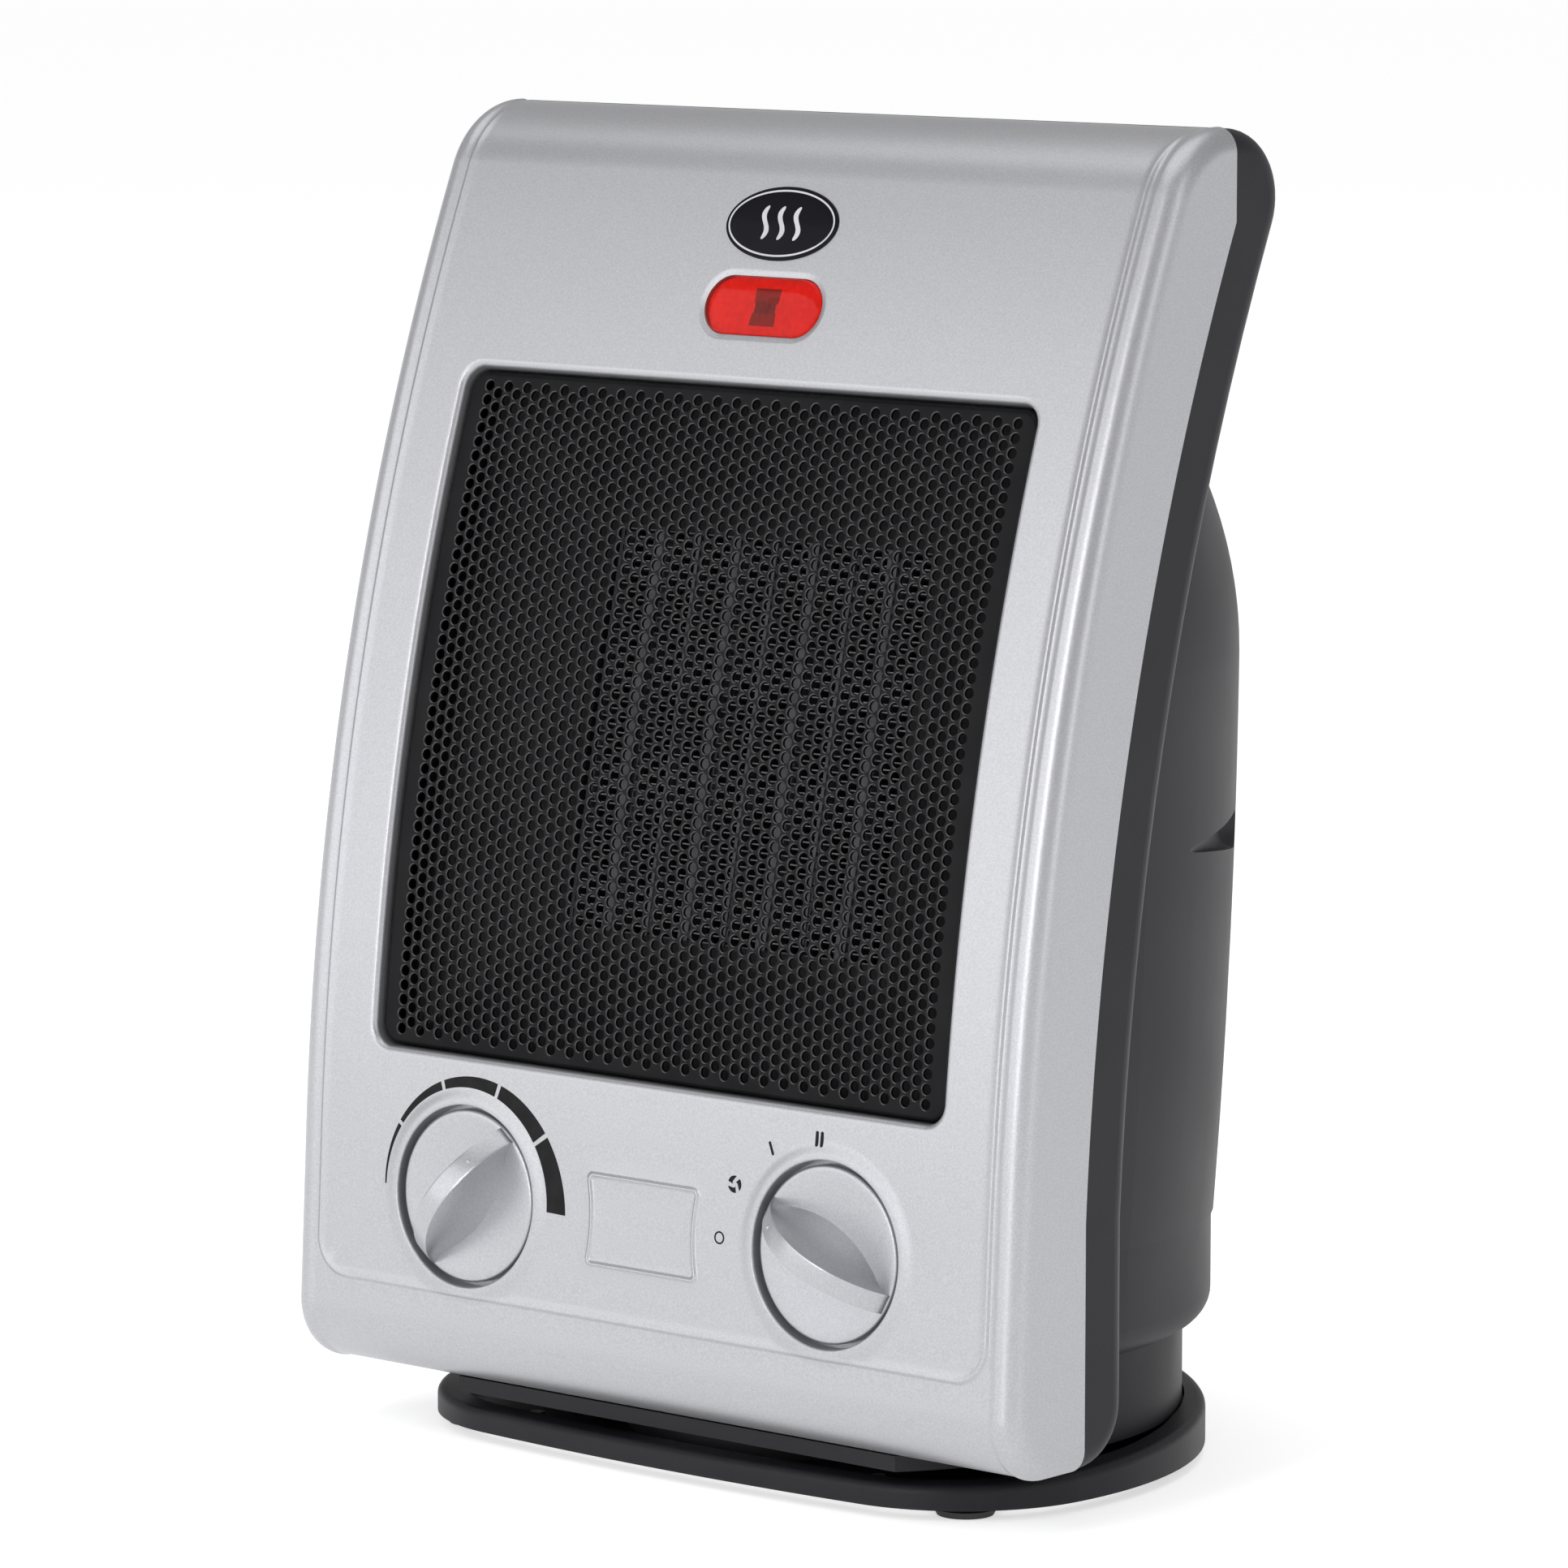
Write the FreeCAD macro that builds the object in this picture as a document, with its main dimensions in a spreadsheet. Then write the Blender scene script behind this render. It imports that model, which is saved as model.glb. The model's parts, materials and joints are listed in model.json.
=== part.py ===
import FreeCAD, Part
import math
import os
import Sketcher
from FreeCAD import Placement, Rotation, Vector

# Upright ceramic (PTC) space heater on a swivel base.
# Millimetres.  +X is the heater's left-to-right, +Y points to its back, +Z is up.
# The origin lies on the floor, under the middle of the heater's bounding box.

doc = FreeCAD.newDocument("ceramic_heater")

# ---------------------------------------------------------------- driving sizes
SIZES = [
    ("body_width", 194.0),          # over the silver side walls
    ("body_top", 273.6),            # top of the shell above the floor
    ("shell_bottom", 12.7),         # underside of the shell above the floor
    ("shell_wall", 2.4),
    ("front_reach", 56.4),          # swivel axis to the foremost line of the shell
    ("front_depth", 20.0),          # front shell, measured square to its face
    ("frame_depth", 14.0),          # black rear frame, square to the same face
    ("edge_round", 5.0),            # rounded long edges of shell and frame
    ("chin_round", 13.0),           # lower front edge of the shell
    ("brow_round", 20.4),           # upper front edge of the shell
    ("heel_round", 12.5),           # lower rear edge of the frame
    ("crown_round", 14.0),          # upper rear edge of the frame
    ("chin_lean", 3.0),             # degrees, lean of the flat lower panel
    ("panel_flat_top", 63.2),       # where the flat panel turns into the long arc
    ("panel_arc", 573.0),           # radius of the long convex front
    ("bead_inset", 6.8),            # raised line, in from the side wall
    ("bead_rise", 0.5),
    ("bead_bottom", 31.7),          # lower line of the raised panel
    ("bead_corner", 8.5),
    ("opening_width", 152.0),
    ("opening_bottom", 81.6),
    ("opening_top", 220.6),
    ("opening_corner", 4.5),
    ("grille_recess", 1.6),
    ("grille_sheet", 0.8),
    ("grille_overlap", 3.0),        # grille past the opening, behind the shell
    ("knob_spacing", 96.6),
    ("knob_level", 53.1),
    ("knob_diameter", 35.6),
    ("knob_gap", 0.75),             # around each knob, radial
    ("knob_disc_depth", 4.3),
    ("knob_sink", 3.6),             # disc below the panel face
    ("grip_height", 10.2),
    ("grip_width", 10.4),
    ("shaft_diameter", 6.0),
    ("shaft_fit", 0.04),            # shaft in its knob, radial
    ("thermostat_rest", 53.0),      # degrees, pointer of the left knob
    ("function_rest", 152.5),       # degrees, pointer of the right knob
    ("lens_width", 30.4),
    ("lens_height", 12.1),
    ("lens_level", 235.9),
    ("badge_width", 29.4),
    ("badge_height", 15.8),
    ("badge_level", 252.1),
    ("badge_thick", 1.0),
    ("label_width", 29.4),
    ("label_height", 18.2),
    ("label_rise", 0.6),
    ("element_width", 84.0),
    ("element_height", 83.0),
    ("element_depth", 16.0),
    ("element_setback", 15.0),      # opening chord to the element's face
    ("element_rim", 6.0),
    ("tube_count", 4.0),            # heater tubes, each with a fin lane on both sides
    ("tube_thick", 2.6),
    ("fin_plate", 0.8),             # plates that close the fin lanes
    ("fin_foil", 0.25),
    ("fin_waves", 26.0),
    ("duct_wall", 1.6),
    ("fan_diameter", 84.0),
    ("fan_clearance", 1.5),
    ("fan_depth", 15.0),
    ("fan_setback", 9.0),           # element's back to the fan
    ("fan_blades", 7.0),
    ("hub_diameter", 30.0),
    ("motor_size", 48.0),
    ("motor_depth", 22.0),
    ("motor_shaft", 4.0),
    ("motor_fit", 0.04),
    ("housing_radius", 85.4),
    ("housing_foot_radius", 81.0),
    ("housing_widest", 165.0),
    ("housing_shoulder", 91.0),     # radius of the shoulder seen from the side
    ("housing_bottom", 50.2),
    ("band_radius", 80.5),
    ("band_bottom", 27.6),
    ("band_round", 6.0),
    ("neck_radius", 74.8),
    ("neck_bottom", 9.5),
    ("handle_level", 129.3),        # grip recess on each side of the housing
    ("handle_height", 7.8),
    ("handle_depth", 1.7),          # housing's widest line to the recess's own axis
    ("handle_length", 33.8),
    ("handle_tip", 0.5),
    ("handle_bearing", 68.0),       # degrees from straight back
    ("slot_width", 3.2),
    ("slot_height", 26.0),
    ("slot_pitch", 7.0),            # degrees
    ("slot_count", 15.0),
    ("base_radius", 83.5),
    ("base_back", 77.2),            # swivel axis to the back of the base
    ("base_front", 50.3),           # swivel axis to the front of the base
    ("base_corner", 35.0),
    ("base_corner_half", 48.0),     # middle to the centre of a front corner
    ("base_underside", 2.2),
    ("base_front_rim", 6.8),
    ("base_back_rim", 12.0),
    ("base_floor", 2.2),            # thickness of the dish floor
    ("base_rim_width", 5.5),
    ("neck_gap", 2.8),              # deep recess around the neck, radial
    ("neck_fit", 0.5),              # collar around the neck, radial
    ("washer_thick", 1.3),
    ("washer_inner", 30.0),
    ("washer_outer", 40.0),
    ("pivot_radius", 11.7),
    ("pivot_fit", 0.08),
    ("foot_radius", 6.5),
    ("foot_inset", 11.0),
    ("plate_thick", 0.8),
    ("boss_radius", 4.0),           # bosses and lugs that the long screws hold
    ("screw_radius", 1.75),
    ("screw_head", 3.4),
    ("screw_length", 9.0),
    ("seat_gap", 0.3),              # between pieces that only face each other
]

sheet = doc.addObject("Spreadsheet::Sheet", "sizes")
for row, (alias, value) in enumerate(SIZES, start=1):
    sheet.set("A%d" % row, alias)
    sheet.set("B%d" % row, str(value))
    sheet.setAlias("B%d" % row, alias)
doc.recompute()


def size(alias):
    return float(getattr(sheet, alias))


# ---------------------------------------------------------------- derived places
half_width = size("body_width") / 2
lean = math.radians(size("chin_lean"))
knob_proud = size("knob_disc_depth") + size("grip_height") - size("knob_sink")
knob_reach = (knob_proud * math.cos(lean) + size("chin_round") * (1 - math.cos(lean))
              - (size("knob_level") - size("shell_bottom") - size("chin_round")) * math.tan(lean)
              + size("knob_diameter") / 2 * math.sin(math.radians(size("thermostat_rest"))) * math.sin(lean))
axis_y = (size("front_reach") + knob_reach - size("housing_radius")) / 2
front_y = axis_y - size("front_reach")
top_z = size("body_top")
bottom_z = size("shell_bottom")
wall = size("shell_wall")
chin_normal = Vector(0, -math.cos(lean), math.sin(lean))
chin_slope = Vector(0, math.sin(lean), math.cos(lean))
chin_centre = Vector(0, front_y + size("chin_round"), bottom_z + size("chin_round"))
chin_top = chin_centre + chin_normal * size("chin_round")
flat_top = chin_top + chin_slope * ((size("panel_flat_top") - chin_top.z) / chin_slope.z)
arc_centre = flat_top - chin_normal * size("panel_arc")

nodes = {}


def keep(label, item):
    item.Label = label
    nodes[label] = item
    return item


def feature(label, shape, placement=None):
    """A sub-part whose shape is worked out below from the sheet."""
    item = doc.addObject("Part::Feature", label)
    item.Shape = shape
    if placement is not None:
        item.Placement = placement
    return keep(label, item)


# ---------------------------------------------------------------- the side profile
def panel_point(level, inward=0.0):
    """Point of the front face at a height, moved inward square to the face."""
    if level <= flat_top.z:
        outer = flat_top + chin_slope * ((level - flat_top.z) / chin_slope.z)
        return outer - chin_normal * inward
    radius = size("panel_arc")
    rise = level - arc_centre.z
    outward = Vector(0, -math.sqrt(radius ** 2 - rise ** 2), rise) / radius
    return arc_centre + outward * (radius - inward)


def panel_normal(level):
    if level <= flat_top.z:
        return chin_normal
    rise = level - arc_centre.z
    return Vector(0, -math.sqrt(size("panel_arc") ** 2 - rise ** 2), rise) / size("panel_arc")


def arc_point(radius, y=None, z=None):
    """Where the arc of this radius about the panel's centre meets a level or a plane."""
    if y is None:
        return Vector(0, arc_centre.y - math.sqrt(radius ** 2 - (z - arc_centre.z) ** 2), z)
    return Vector(0, y, arc_centre.z + math.sqrt(radius ** 2 - (arc_centre.y - y) ** 2))


def arc_between(centre, radius, start, end):
    middle = (start + end) * 0.5 - centre
    return Part.Arc(start, centre + middle.normalize() * radius, end).toShape()


def line(start, end):
    return Part.LineSegment(start, end).toShape()


def front_edges(inset):
    """Edges of the front outline from the underside to the top, moved in by inset."""
    chin = size("chin_round") - inset
    brow = size("brow_round") - inset
    arc = size("panel_arc") - inset
    low = Vector(0, chin_centre.y, bottom_z + inset)
    chin_end = chin_centre + chin_normal * chin
    arc_start = arc_centre + chin_normal * arc
    reach = size("panel_arc") - size("brow_round")
    brow_z = top_z - size("brow_round")
    brow_centre = arc_point(reach, z=brow_z)
    brow_start = arc_centre + (brow_centre - arc_centre) * (arc / reach)
    brow_end = Vector(0, brow_centre.y, top_z - inset)
    edges = [
        arc_between(chin_centre, chin, low, chin_end),
        line(chin_end, arc_start),
        arc_between(arc_centre, arc, arc_start, brow_start),
        arc_between(brow_centre, brow, brow_start, brow_end),
    ]
    return edges, low, brow_end


def extrude(edges, half):
    face = Part.Face(Part.Wire(Part.__sortEdges__(edges)))
    face.translate(Vector(-half, 0, 0))
    return face.extrude(Vector(2 * half, 0, 0))


def parting_points(depth, inset):
    """Corners of a surface parallel to the face, at this depth behind it."""
    arc = size("panel_arc") - depth
    start = arc_centre + chin_normal * arc
    low = Vector(0, start.y, bottom_z + inset)
    return arc, start, low


def shell_region(inset, depth, side_inset):
    """Solid between the front outline and the parting surface at depth."""
    edges, low, high = front_edges(inset)
    arc, start, foot = parting_points(depth, inset)
    crest = Vector(0, high.y + 0.5, top_z - inset)
    meet = arc_point(arc, y=crest.y)
    edges += [line(high, crest), line(crest, meet), arc_between(arc_centre, arc, meet, start)]
    edges += [line(start, foot), line(foot, low)]
    return extrude(edges, half_width - side_inset)


def back_edges(depth, inset):
    """Rear outline of the frame from the top to the underside."""
    arc = size("panel_arc") - depth
    crown = size("crown_round") - inset
    heel = size("heel_round") - inset
    crown_z = top_z - size("crown_round")
    crown_centre = arc_point(size("panel_arc") - size("front_depth") - size("frame_depth")
                             + size("crown_round"), z=crown_z)
    crown_start = Vector(0, crown_centre.y, top_z - inset)
    toward = (arc_centre - crown_centre).normalize()
    crown_end = crown_centre + toward * crown
    arc_end = arc_centre + chin_normal * arc
    heel_centre = Vector(0, arc_end.y - heel, bottom_z + size("heel_round"))
    heel_start = Vector(0, arc_end.y, heel_centre.z)
    heel_end = Vector(0, heel_centre.y, bottom_z + inset)
    edges = [
        Part.Arc(crown_start, crown_centre + (Vector(0, 0, 1) + toward).normalize() * crown,
                 crown_end).toShape(),
        arc_between(arc_centre, arc, crown_end, arc_end),
        line(arc_end, heel_start),
        Part.Arc(heel_start, heel_centre + Vector(0, 1, -1).normalize() * heel,
                 heel_end).toShape(),
    ]
    return edges, crown_start, heel_end


def frame_region(inset, side_inset, front=0.0):
    """Solid between the parting surface and the rear outline."""
    depth = size("front_depth")
    arc, start, foot = parting_points(depth + front, inset)
    high = front_edges(0)[2]
    crest = Vector(0, high.y + 0.5 + front, top_z - inset)
    meet = arc_point(arc, y=crest.y)
    edges, crown_start, heel_end = back_edges(depth + size("frame_depth") - inset, inset)
    if crown_start.y - crest.y > 0.01:
        edges.append(line(crest, crown_start))
    else:
        crest = Vector(0, crown_start.y, crest.z)
        meet = arc_point(arc, y=crest.y)
    edges += [line(crest, meet), arc_between(arc_centre, arc, meet, start)]
    edges += [line(start, foot), line(foot, heel_end)]
    return extrude(edges, half_width - side_inset)


def parting_y(level):
    """Plane or arc of the joint between the front shell and the rear frame, at a height."""
    arc, start, foot = parting_points(size("front_depth"), 0)
    crest_y = front_edges(0)[2].y + 0.5
    if level < start.z:
        return start.y
    if level > arc_point(arc, y=crest_y).z:
        return crest_y
    return arc_point(arc, z=level).y


def side_edges(shape, inset, wanted):
    """Long edges in the plane of the side walls that pass the test wanted(edge middle)."""
    found = []
    for edge in shape.Edges:
        middle = edge.valueAt((edge.FirstParameter + edge.LastParameter) / 2)
        box = edge.BoundBox
        if box.XLength < 1e-6 and abs(abs(middle.x) - half_width + inset) < 1e-6 and wanted(middle):
            found.append(edge)
    return found


def panel_prism(level, outline, inward, outward):
    """Extrude an X-Y outline square to the panel, placed at a height on the panel."""
    solid = outline.extrude(Vector(0, 0, inward + outward))
    normal = panel_normal(level)
    turn = Rotation(Vector(1, 0, 0), Vector(0, -normal.z, -normal.y).normalize(), normal, "XZY")
    place = panel_point(level) - normal * inward
    solid.Placement = Placement(place, turn)
    return solid


def pill(width, height):
    radius = height / 2
    reach = width / 2 - radius
    edges = [
        line(Vector(-reach, -radius, 0), Vector(reach, -radius, 0)),
        Part.Arc(Vector(reach, -radius, 0), Vector(reach + radius, 0, 0),
                 Vector(reach, radius, 0)).toShape(),
        line(Vector(reach, radius, 0), Vector(-reach, radius, 0)),
        Part.Arc(Vector(-reach, radius, 0), Vector(-reach - radius, 0, 0),
                 Vector(-reach, -radius, 0)).toShape(),
    ]
    return Part.Face(Part.Wire(edges))


def disc(radius):
    return Part.Face(Part.Wire(Part.Circle(Vector(), Vector(0, 0, 1), radius).toShape()))


def rounded_box(width, low, high, front, back, corner):
    """Box through the panel whose four edges along Y are rounded."""
    solid = Part.makeBox(width, back - front, high - low, Vector(-width / 2, front, low))
    along = [e for e in solid.Edges if e.BoundBox.YLength > 1e-3 and e.BoundBox.XLength < 1e-6
             and e.BoundBox.ZLength < 1e-6]
    return solid.makeFillet(corner, along)


# ---------------------------------------------------------------- front shell
knob_half = size("knob_spacing") / 2
low_chord = panel_point(size("opening_bottom"))
high_chord = panel_point(size("opening_top"))
chord = (high_chord - low_chord).normalize()
chord_lean = math.degrees(math.atan2(chord.y, chord.z))
chord_middle = (low_chord + high_chord) * 0.5
core_place = Placement(chord_middle, Rotation(Vector(1, 0, 0), -chord_lean))


def knob_well(side, radius, deep):
    outline = disc(radius)
    outline.translate(Vector(side * knob_half, 0, 0))
    return panel_prism(size("knob_level"), outline, deep, 10)


def front_shell():
    outer = shell_region(0, size("front_depth"), 0)
    long_edges = side_edges(outer, 0, lambda p: p.y < panel_point(min(p.z, top_z - 30)).y + 8
                            or p.z > top_z - 3)
    outer = outer.makeFillet(size("edge_round"), long_edges)
    shell = outer.cut(shell_region(wall, size("front_depth") + 30, wall))
    opening = rounded_box(size("opening_width"), size("opening_bottom"), size("opening_top"),
                          front_y - 20, front_y + 60, size("opening_corner"))
    shell = shell.cut(opening)
    well = size("knob_diameter") / 2 + size("knob_gap")
    sink = size("knob_sink") + size("seat_gap")
    for side in (-1, 1):
        cup = knob_well(side, well + 1.6, sink + 1.6).common(shell_region(0.5, 60, wall / 2))
        shell = shell.fuse(cup).cut(knob_well(side, well, sink))
        shell = shell.cut(knob_well(side, size("shaft_diameter") / 2 + 1.0, 40))
    lens_hole = pill(size("lens_width") + 0.4, size("lens_height") + 0.4)
    shell = shell.cut(panel_prism(size("lens_level"), lens_hole, 12, 12))
    return shell


# The raised panel inside the bead: a U that fades at the brow.
def raised_panel():
    half = half_width - size("bead_inset")
    rise = size("bead_rise")
    skin = shell_region(-rise, size("front_depth"), size("bead_inset")).cut(
        shell_region(0, size("front_depth") + 30, 0))
    bound = rounded_box(2 * half, size("bead_bottom"), top_z + 40, front_y - 20,
                        arc_point(size("panel_arc"), z=top_z - 22).y, size("bead_corner"))
    return skin.common(bound)


shell = front_shell()
panel = raised_panel()
opening = rounded_box(size("opening_width") + 3, size("opening_bottom") - 1.5,
                      size("opening_top") + 1.5, front_y - 20, front_y + 60, size("opening_corner"))
well = size("knob_diameter") / 2 + size("knob_gap")
panel = panel.cut(opening)
for side in (-1, 1):
    panel = panel.cut(knob_well(side, well + 1.2, 20))
panel = panel.cut(panel_prism(size("lens_level"),
                              pill(size("lens_width") + 3, size("lens_height") + 3), 12, 12))
label_outline = Part.makePlane(size("label_width"), size("label_height"),
                               Vector(-size("label_width") / 2, -size("label_height") / 2, 0))
label_inner = Part.makePlane(size("label_width") - 2, size("label_height") - 2,
                             Vector(-size("label_width") / 2 + 1, -size("label_height") / 2 + 1, 0))
label_frame = panel_prism(size("knob_level") - 0.4, label_outline, 1, size("bead_rise") + size("label_rise"))
label_frame = label_frame.cut(panel_prism(size("knob_level") - 0.4, label_inner, 5, 5))
frame_back = size("front_depth") + size("frame_depth")
boss_levels = (size("opening_bottom") - 8, top_z - 38)
boss_places = [(side * (half_width - wall - 9), level) for side in (-1, 1) for level in boss_levels]


def square_rod(x, level, radius, shallow, deep):
    """Cylinder square to the panel between two depths behind its face."""
    rod_normal = panel_normal(level)
    start = panel_point(level, shallow) + Vector(x, 0, 0)
    return Part.makeCylinder(radius, deep - shallow, start, rod_normal * -1)


for x, level in boss_places:
    boss = square_rod(x, level, size("boss_radius"), wall - 0.5, frame_back - wall)
    shell = shell.fuse(boss).cut(square_rod(x, level, size("screw_radius"), frame_back - wall - 9, frame_back))
feature("front_shell", shell.fuse(panel).fuse(label_frame).removeSplitter())

# ---------------------------------------------------------------- rear frame
outer = frame_region(0, 0)
rear_edges = side_edges(outer, 0, lambda p: p.y > parting_y(p.z) + 0.3)
outer = outer.makeFillet(size("edge_round"), rear_edges)
frame = outer.cut(frame_region(wall, wall, front=-5))
air_window = Part.makeBox(size("element_width") + 2 * size("element_rim") + 10, 90,
                          size("element_height") + 2 * size("element_rim") + 10,
                          Vector(-size("element_width") / 2 - size("element_rim") - 5, 0,
                                 -size("element_height") / 2 - size("element_rim") - 5))
air_window.Placement = core_place
frame = frame.cut(air_window)
lug_places = [(side * (size("housing_radius") - wall - reach), level)
              for side in (-1, 1) for level, reach in ((80, 7.0), (180, 3.2))]
for x, level in boss_places + lug_places:
    frame = frame.cut(square_rod(x, level, size("screw_radius") + 0.2, frame_back - wall - 2, frame_back + 2))
feature("rear_frame", frame.removeSplitter())

# ---------------------------------------------------------------- rear housing and neck
edges, crown_start, heel_end = back_edges(frame_back, 0)
in_front = [line(crown_start, Vector(0, crown_start.y, top_z + 60)),
            line(Vector(0, crown_start.y, top_z + 60), Vector(0, front_y - 60, top_z + 60)),
            line(Vector(0, front_y - 60, top_z + 60), Vector(0, front_y - 60, bottom_z)),
            line(Vector(0, front_y - 60, bottom_z), heel_end)]
front_block = extrude(edges + in_front, 300)


def turned(points):
    """Solid turned about the swivel axis from (radius, z) points and arcs between them."""
    edges = []
    for start, end in zip(points, points[1:] + points[:1]):
        if len(end) == 3:
            middle = Vector(end[2][0], 0, end[2][1])
            edges.append(Part.Arc(Vector(start[0], 0, start[1]), middle,
                                  Vector(end[0], 0, end[1])).toShape())
        else:
            edges.append(line(Vector(start[0], 0, start[1]), Vector(end[0], 0, end[1])))
    solid = Part.Face(Part.Wire(edges)).revolve(Vector(), Vector(0, 0, 1), 360)
    solid.translate(Vector(0, axis_y, 0))
    return solid


def housing_solid(inset):
    radius = size("housing_radius") - inset
    widest = size("housing_widest")
    shoulder = size("housing_shoulder") - inset
    crown = 34.0 - inset
    bend = math.radians(30)
    first = (radius - shoulder * (1 - math.cos(bend)), widest + shoulder * math.sin(bend))
    half_bend = bend / 2
    first_mid = (radius - shoulder * (1 - math.cos(half_bend)), widest + shoulder * math.sin(half_bend))
    crown_r = first[0] - crown * math.cos(bend)
    crown_z = first[1] - crown * math.sin(bend)
    second = (crown_r, crown_z + crown)
    mid_angle = (math.pi / 2 + bend) / 2
    second_mid = (crown_r + crown * math.cos(mid_angle), crown_z + crown * math.sin(mid_angle))
    foot = size("housing_foot_radius") - inset
    low = size("housing_bottom")
    return turned([(0, low), (foot, low), (radius, widest, (size("housing_radius") - inset - 1.3,
                   (low + widest) / 2)), (first[0], first[1], first_mid),
                   (second[0], second[1], second_mid), (0, second[1])])


housing = housing_solid(0).cut(housing_solid(wall).fuse(
    Part.makeCylinder(size("housing_foot_radius") - wall, 4, Vector(0, axis_y, size("housing_bottom") - 2))))
housing = housing.cut(front_block)
slots = []
for row in (0, 1):
    low = size("handle_level") + 14 + row * (size("slot_height") + 5)
    for place in range(int(size("slot_count"))):
        angle = (place - (size("slot_count") - 1) / 2) * size("slot_pitch")
        slot = Part.makeBox(size("slot_width"), 30, size("slot_height"),
                            Vector(-size("slot_width") / 2, size("housing_radius") - 20, low))
        slot.rotate(Vector(), Vector(0, 0, 1), angle)
        slot.translate(Vector(0, axis_y, 0))
        slots.append(slot)
housing = housing.cut(Part.makeCompound(slots))


def teardrop(grow):
    """Recess tool along X with its tip towards +X: a cone with a ball end, carried on towards +Y."""
    blunt, sharp = size("handle_height") / 2 + grow, size("handle_tip") + grow
    length = size("handle_length")
    slope = math.asin((blunt - sharp) / length)
    across, rise = math.sin(slope), math.cos(slope)
    near, far = length / 2, -length / 2
    high_near = Vector(near + sharp * across, 0, sharp * rise)
    high_far = Vector(far + blunt * across, 0, blunt * rise)
    turn = (math.pi / 2 + slope) / 2
    far_bend = Vector(far - blunt * math.sin(turn), 0, blunt * math.cos(turn))
    near_bend = Vector(near + sharp * math.cos(turn / 2), 0, sharp * math.sin(turn / 2))
    upper = [line(Vector(near + sharp, 0, 0), Vector(far - blunt, 0, 0)),
             Part.Arc(Vector(far - blunt, 0, 0), far_bend, high_far).toShape(),
             line(high_far, high_near),
             Part.Arc(high_near, near_bend, Vector(near + sharp, 0, 0)).toShape()]
    half = Part.Face(Part.Wire(upper))
    whole = half.fuse(half.mirror(Vector(), Vector(0, 0, 1))).removeSplitter()
    return half.revolve(Vector(), Vector(1, 0, 0), 360).fuse(whole.extrude(Vector(0, 30, 0)))


recess_reach = size("housing_radius") - size("handle_depth")
for side in (-1, 1):
    bearing = math.radians(size("handle_bearing"))
    centre = Vector(side * recess_reach * math.sin(bearing), axis_y + recess_reach * math.cos(bearing),
                    size("handle_level"))
    pair = []
    for grow in (wall, 0):
        tool = teardrop(grow)
        if side < 0:
            tool = tool.mirror(Vector(), Vector(1, 0, 0))
        tool.rotate(Vector(), Vector(0, 0, 1), -side * size("handle_bearing"))
        tool.translate(centre)
        pair.append(tool)
    housing = housing.fuse(pair[0].common(housing_solid(0.2))).cut(pair[1])
for x, level in lug_places:
    lug = square_rod(x, level, size("boss_radius"), frame_back - 2, frame_back + 11).cut(front_block)
    housing = housing.fuse(lug)
    housing = housing.cut(square_rod(x, level, size("screw_radius"), frame_back - 2, frame_back + 9))
feature("rear_housing", housing)
filter_low = size("handle_level") + 8
filter_box = Part.makeBox(150, 80, size("housing_widest") + 45 - filter_low,
                          Vector(-75, axis_y + 30, filter_low))
dust_filter = housing_solid(wall).cut(housing_solid(wall + 0.8)).common(filter_box)
feature("dust_filter", dust_filter)

band = turned([(size("neck_radius") - wall, size("band_bottom")),
               (size("neck_radius") + 0.4, size("band_bottom")),
               (size("band_radius"), size("band_bottom") + size("band_round"),
                (size("band_radius") - 1.6, size("band_bottom") + 1.9)),
               (size("band_radius"), size("housing_bottom")),
               (size("band_radius") - wall, size("housing_bottom")),
               (size("band_radius") - wall, size("band_bottom") + size("band_round")),
               (size("neck_radius") - wall, size("band_bottom") + wall)])
feature("housing_band", band.cut(front_block).removeSplitter())

neck_floor_top = bottom_z
neck_wall = turned([(size("neck_radius") - wall, size("neck_bottom")),
                    (size("neck_radius"), size("neck_bottom")),
                    (size("neck_radius"), size("band_bottom")),
                    (size("neck_radius") - wall, size("band_bottom"))]).cut(front_block)
neck_floor = Part.makeCylinder(size("neck_radius") - wall / 2, neck_floor_top - size("neck_bottom"),
                               Vector(0, axis_y, size("neck_bottom")))
neck_front = front_y + 10
neck_floor = neck_floor.cut(Part.makeBox(400, 200, 40, Vector(-200, neck_front - 200, 0)))
neck_wall = neck_wall.cut(Part.makeBox(400, 200, neck_floor_top + 1, Vector(-200, neck_front - 200, 0)))
neck = neck_wall.fuse(neck_floor)
neck = neck.cut(Part.makeCylinder(size("pivot_radius") + size("pivot_fit"), 60, Vector(0, axis_y, 0)))
gland_z = (neck_floor_top + size("band_bottom")) / 2
gland_radius = 5.0
neck = neck.cut(Part.makeCylinder(gland_radius, 30, Vector(0, axis_y + size("neck_radius") - 15, gland_z),
                                  Vector(0, 1, 0)))
feature("neck", neck)
gland = Part.makeCylinder(gland_radius, 10, Vector(0, axis_y + size("neck_radius") - 6, gland_z),
                          Vector(0, 1, 0))
gland_flange = Vector(0, axis_y + size("neck_radius") + 0.2, gland_z)
gland = gland.fuse(Part.makeCylinder(gland_radius + 1.0, 2, gland_flange, Vector(0, 1, 0)))
gland = gland.cut(Part.makeCylinder(3.6, 40, Vector(0, axis_y + 40, gland_z), Vector(0, 1, 0)))
feature("cord_gland", gland.removeSplitter())

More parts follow.
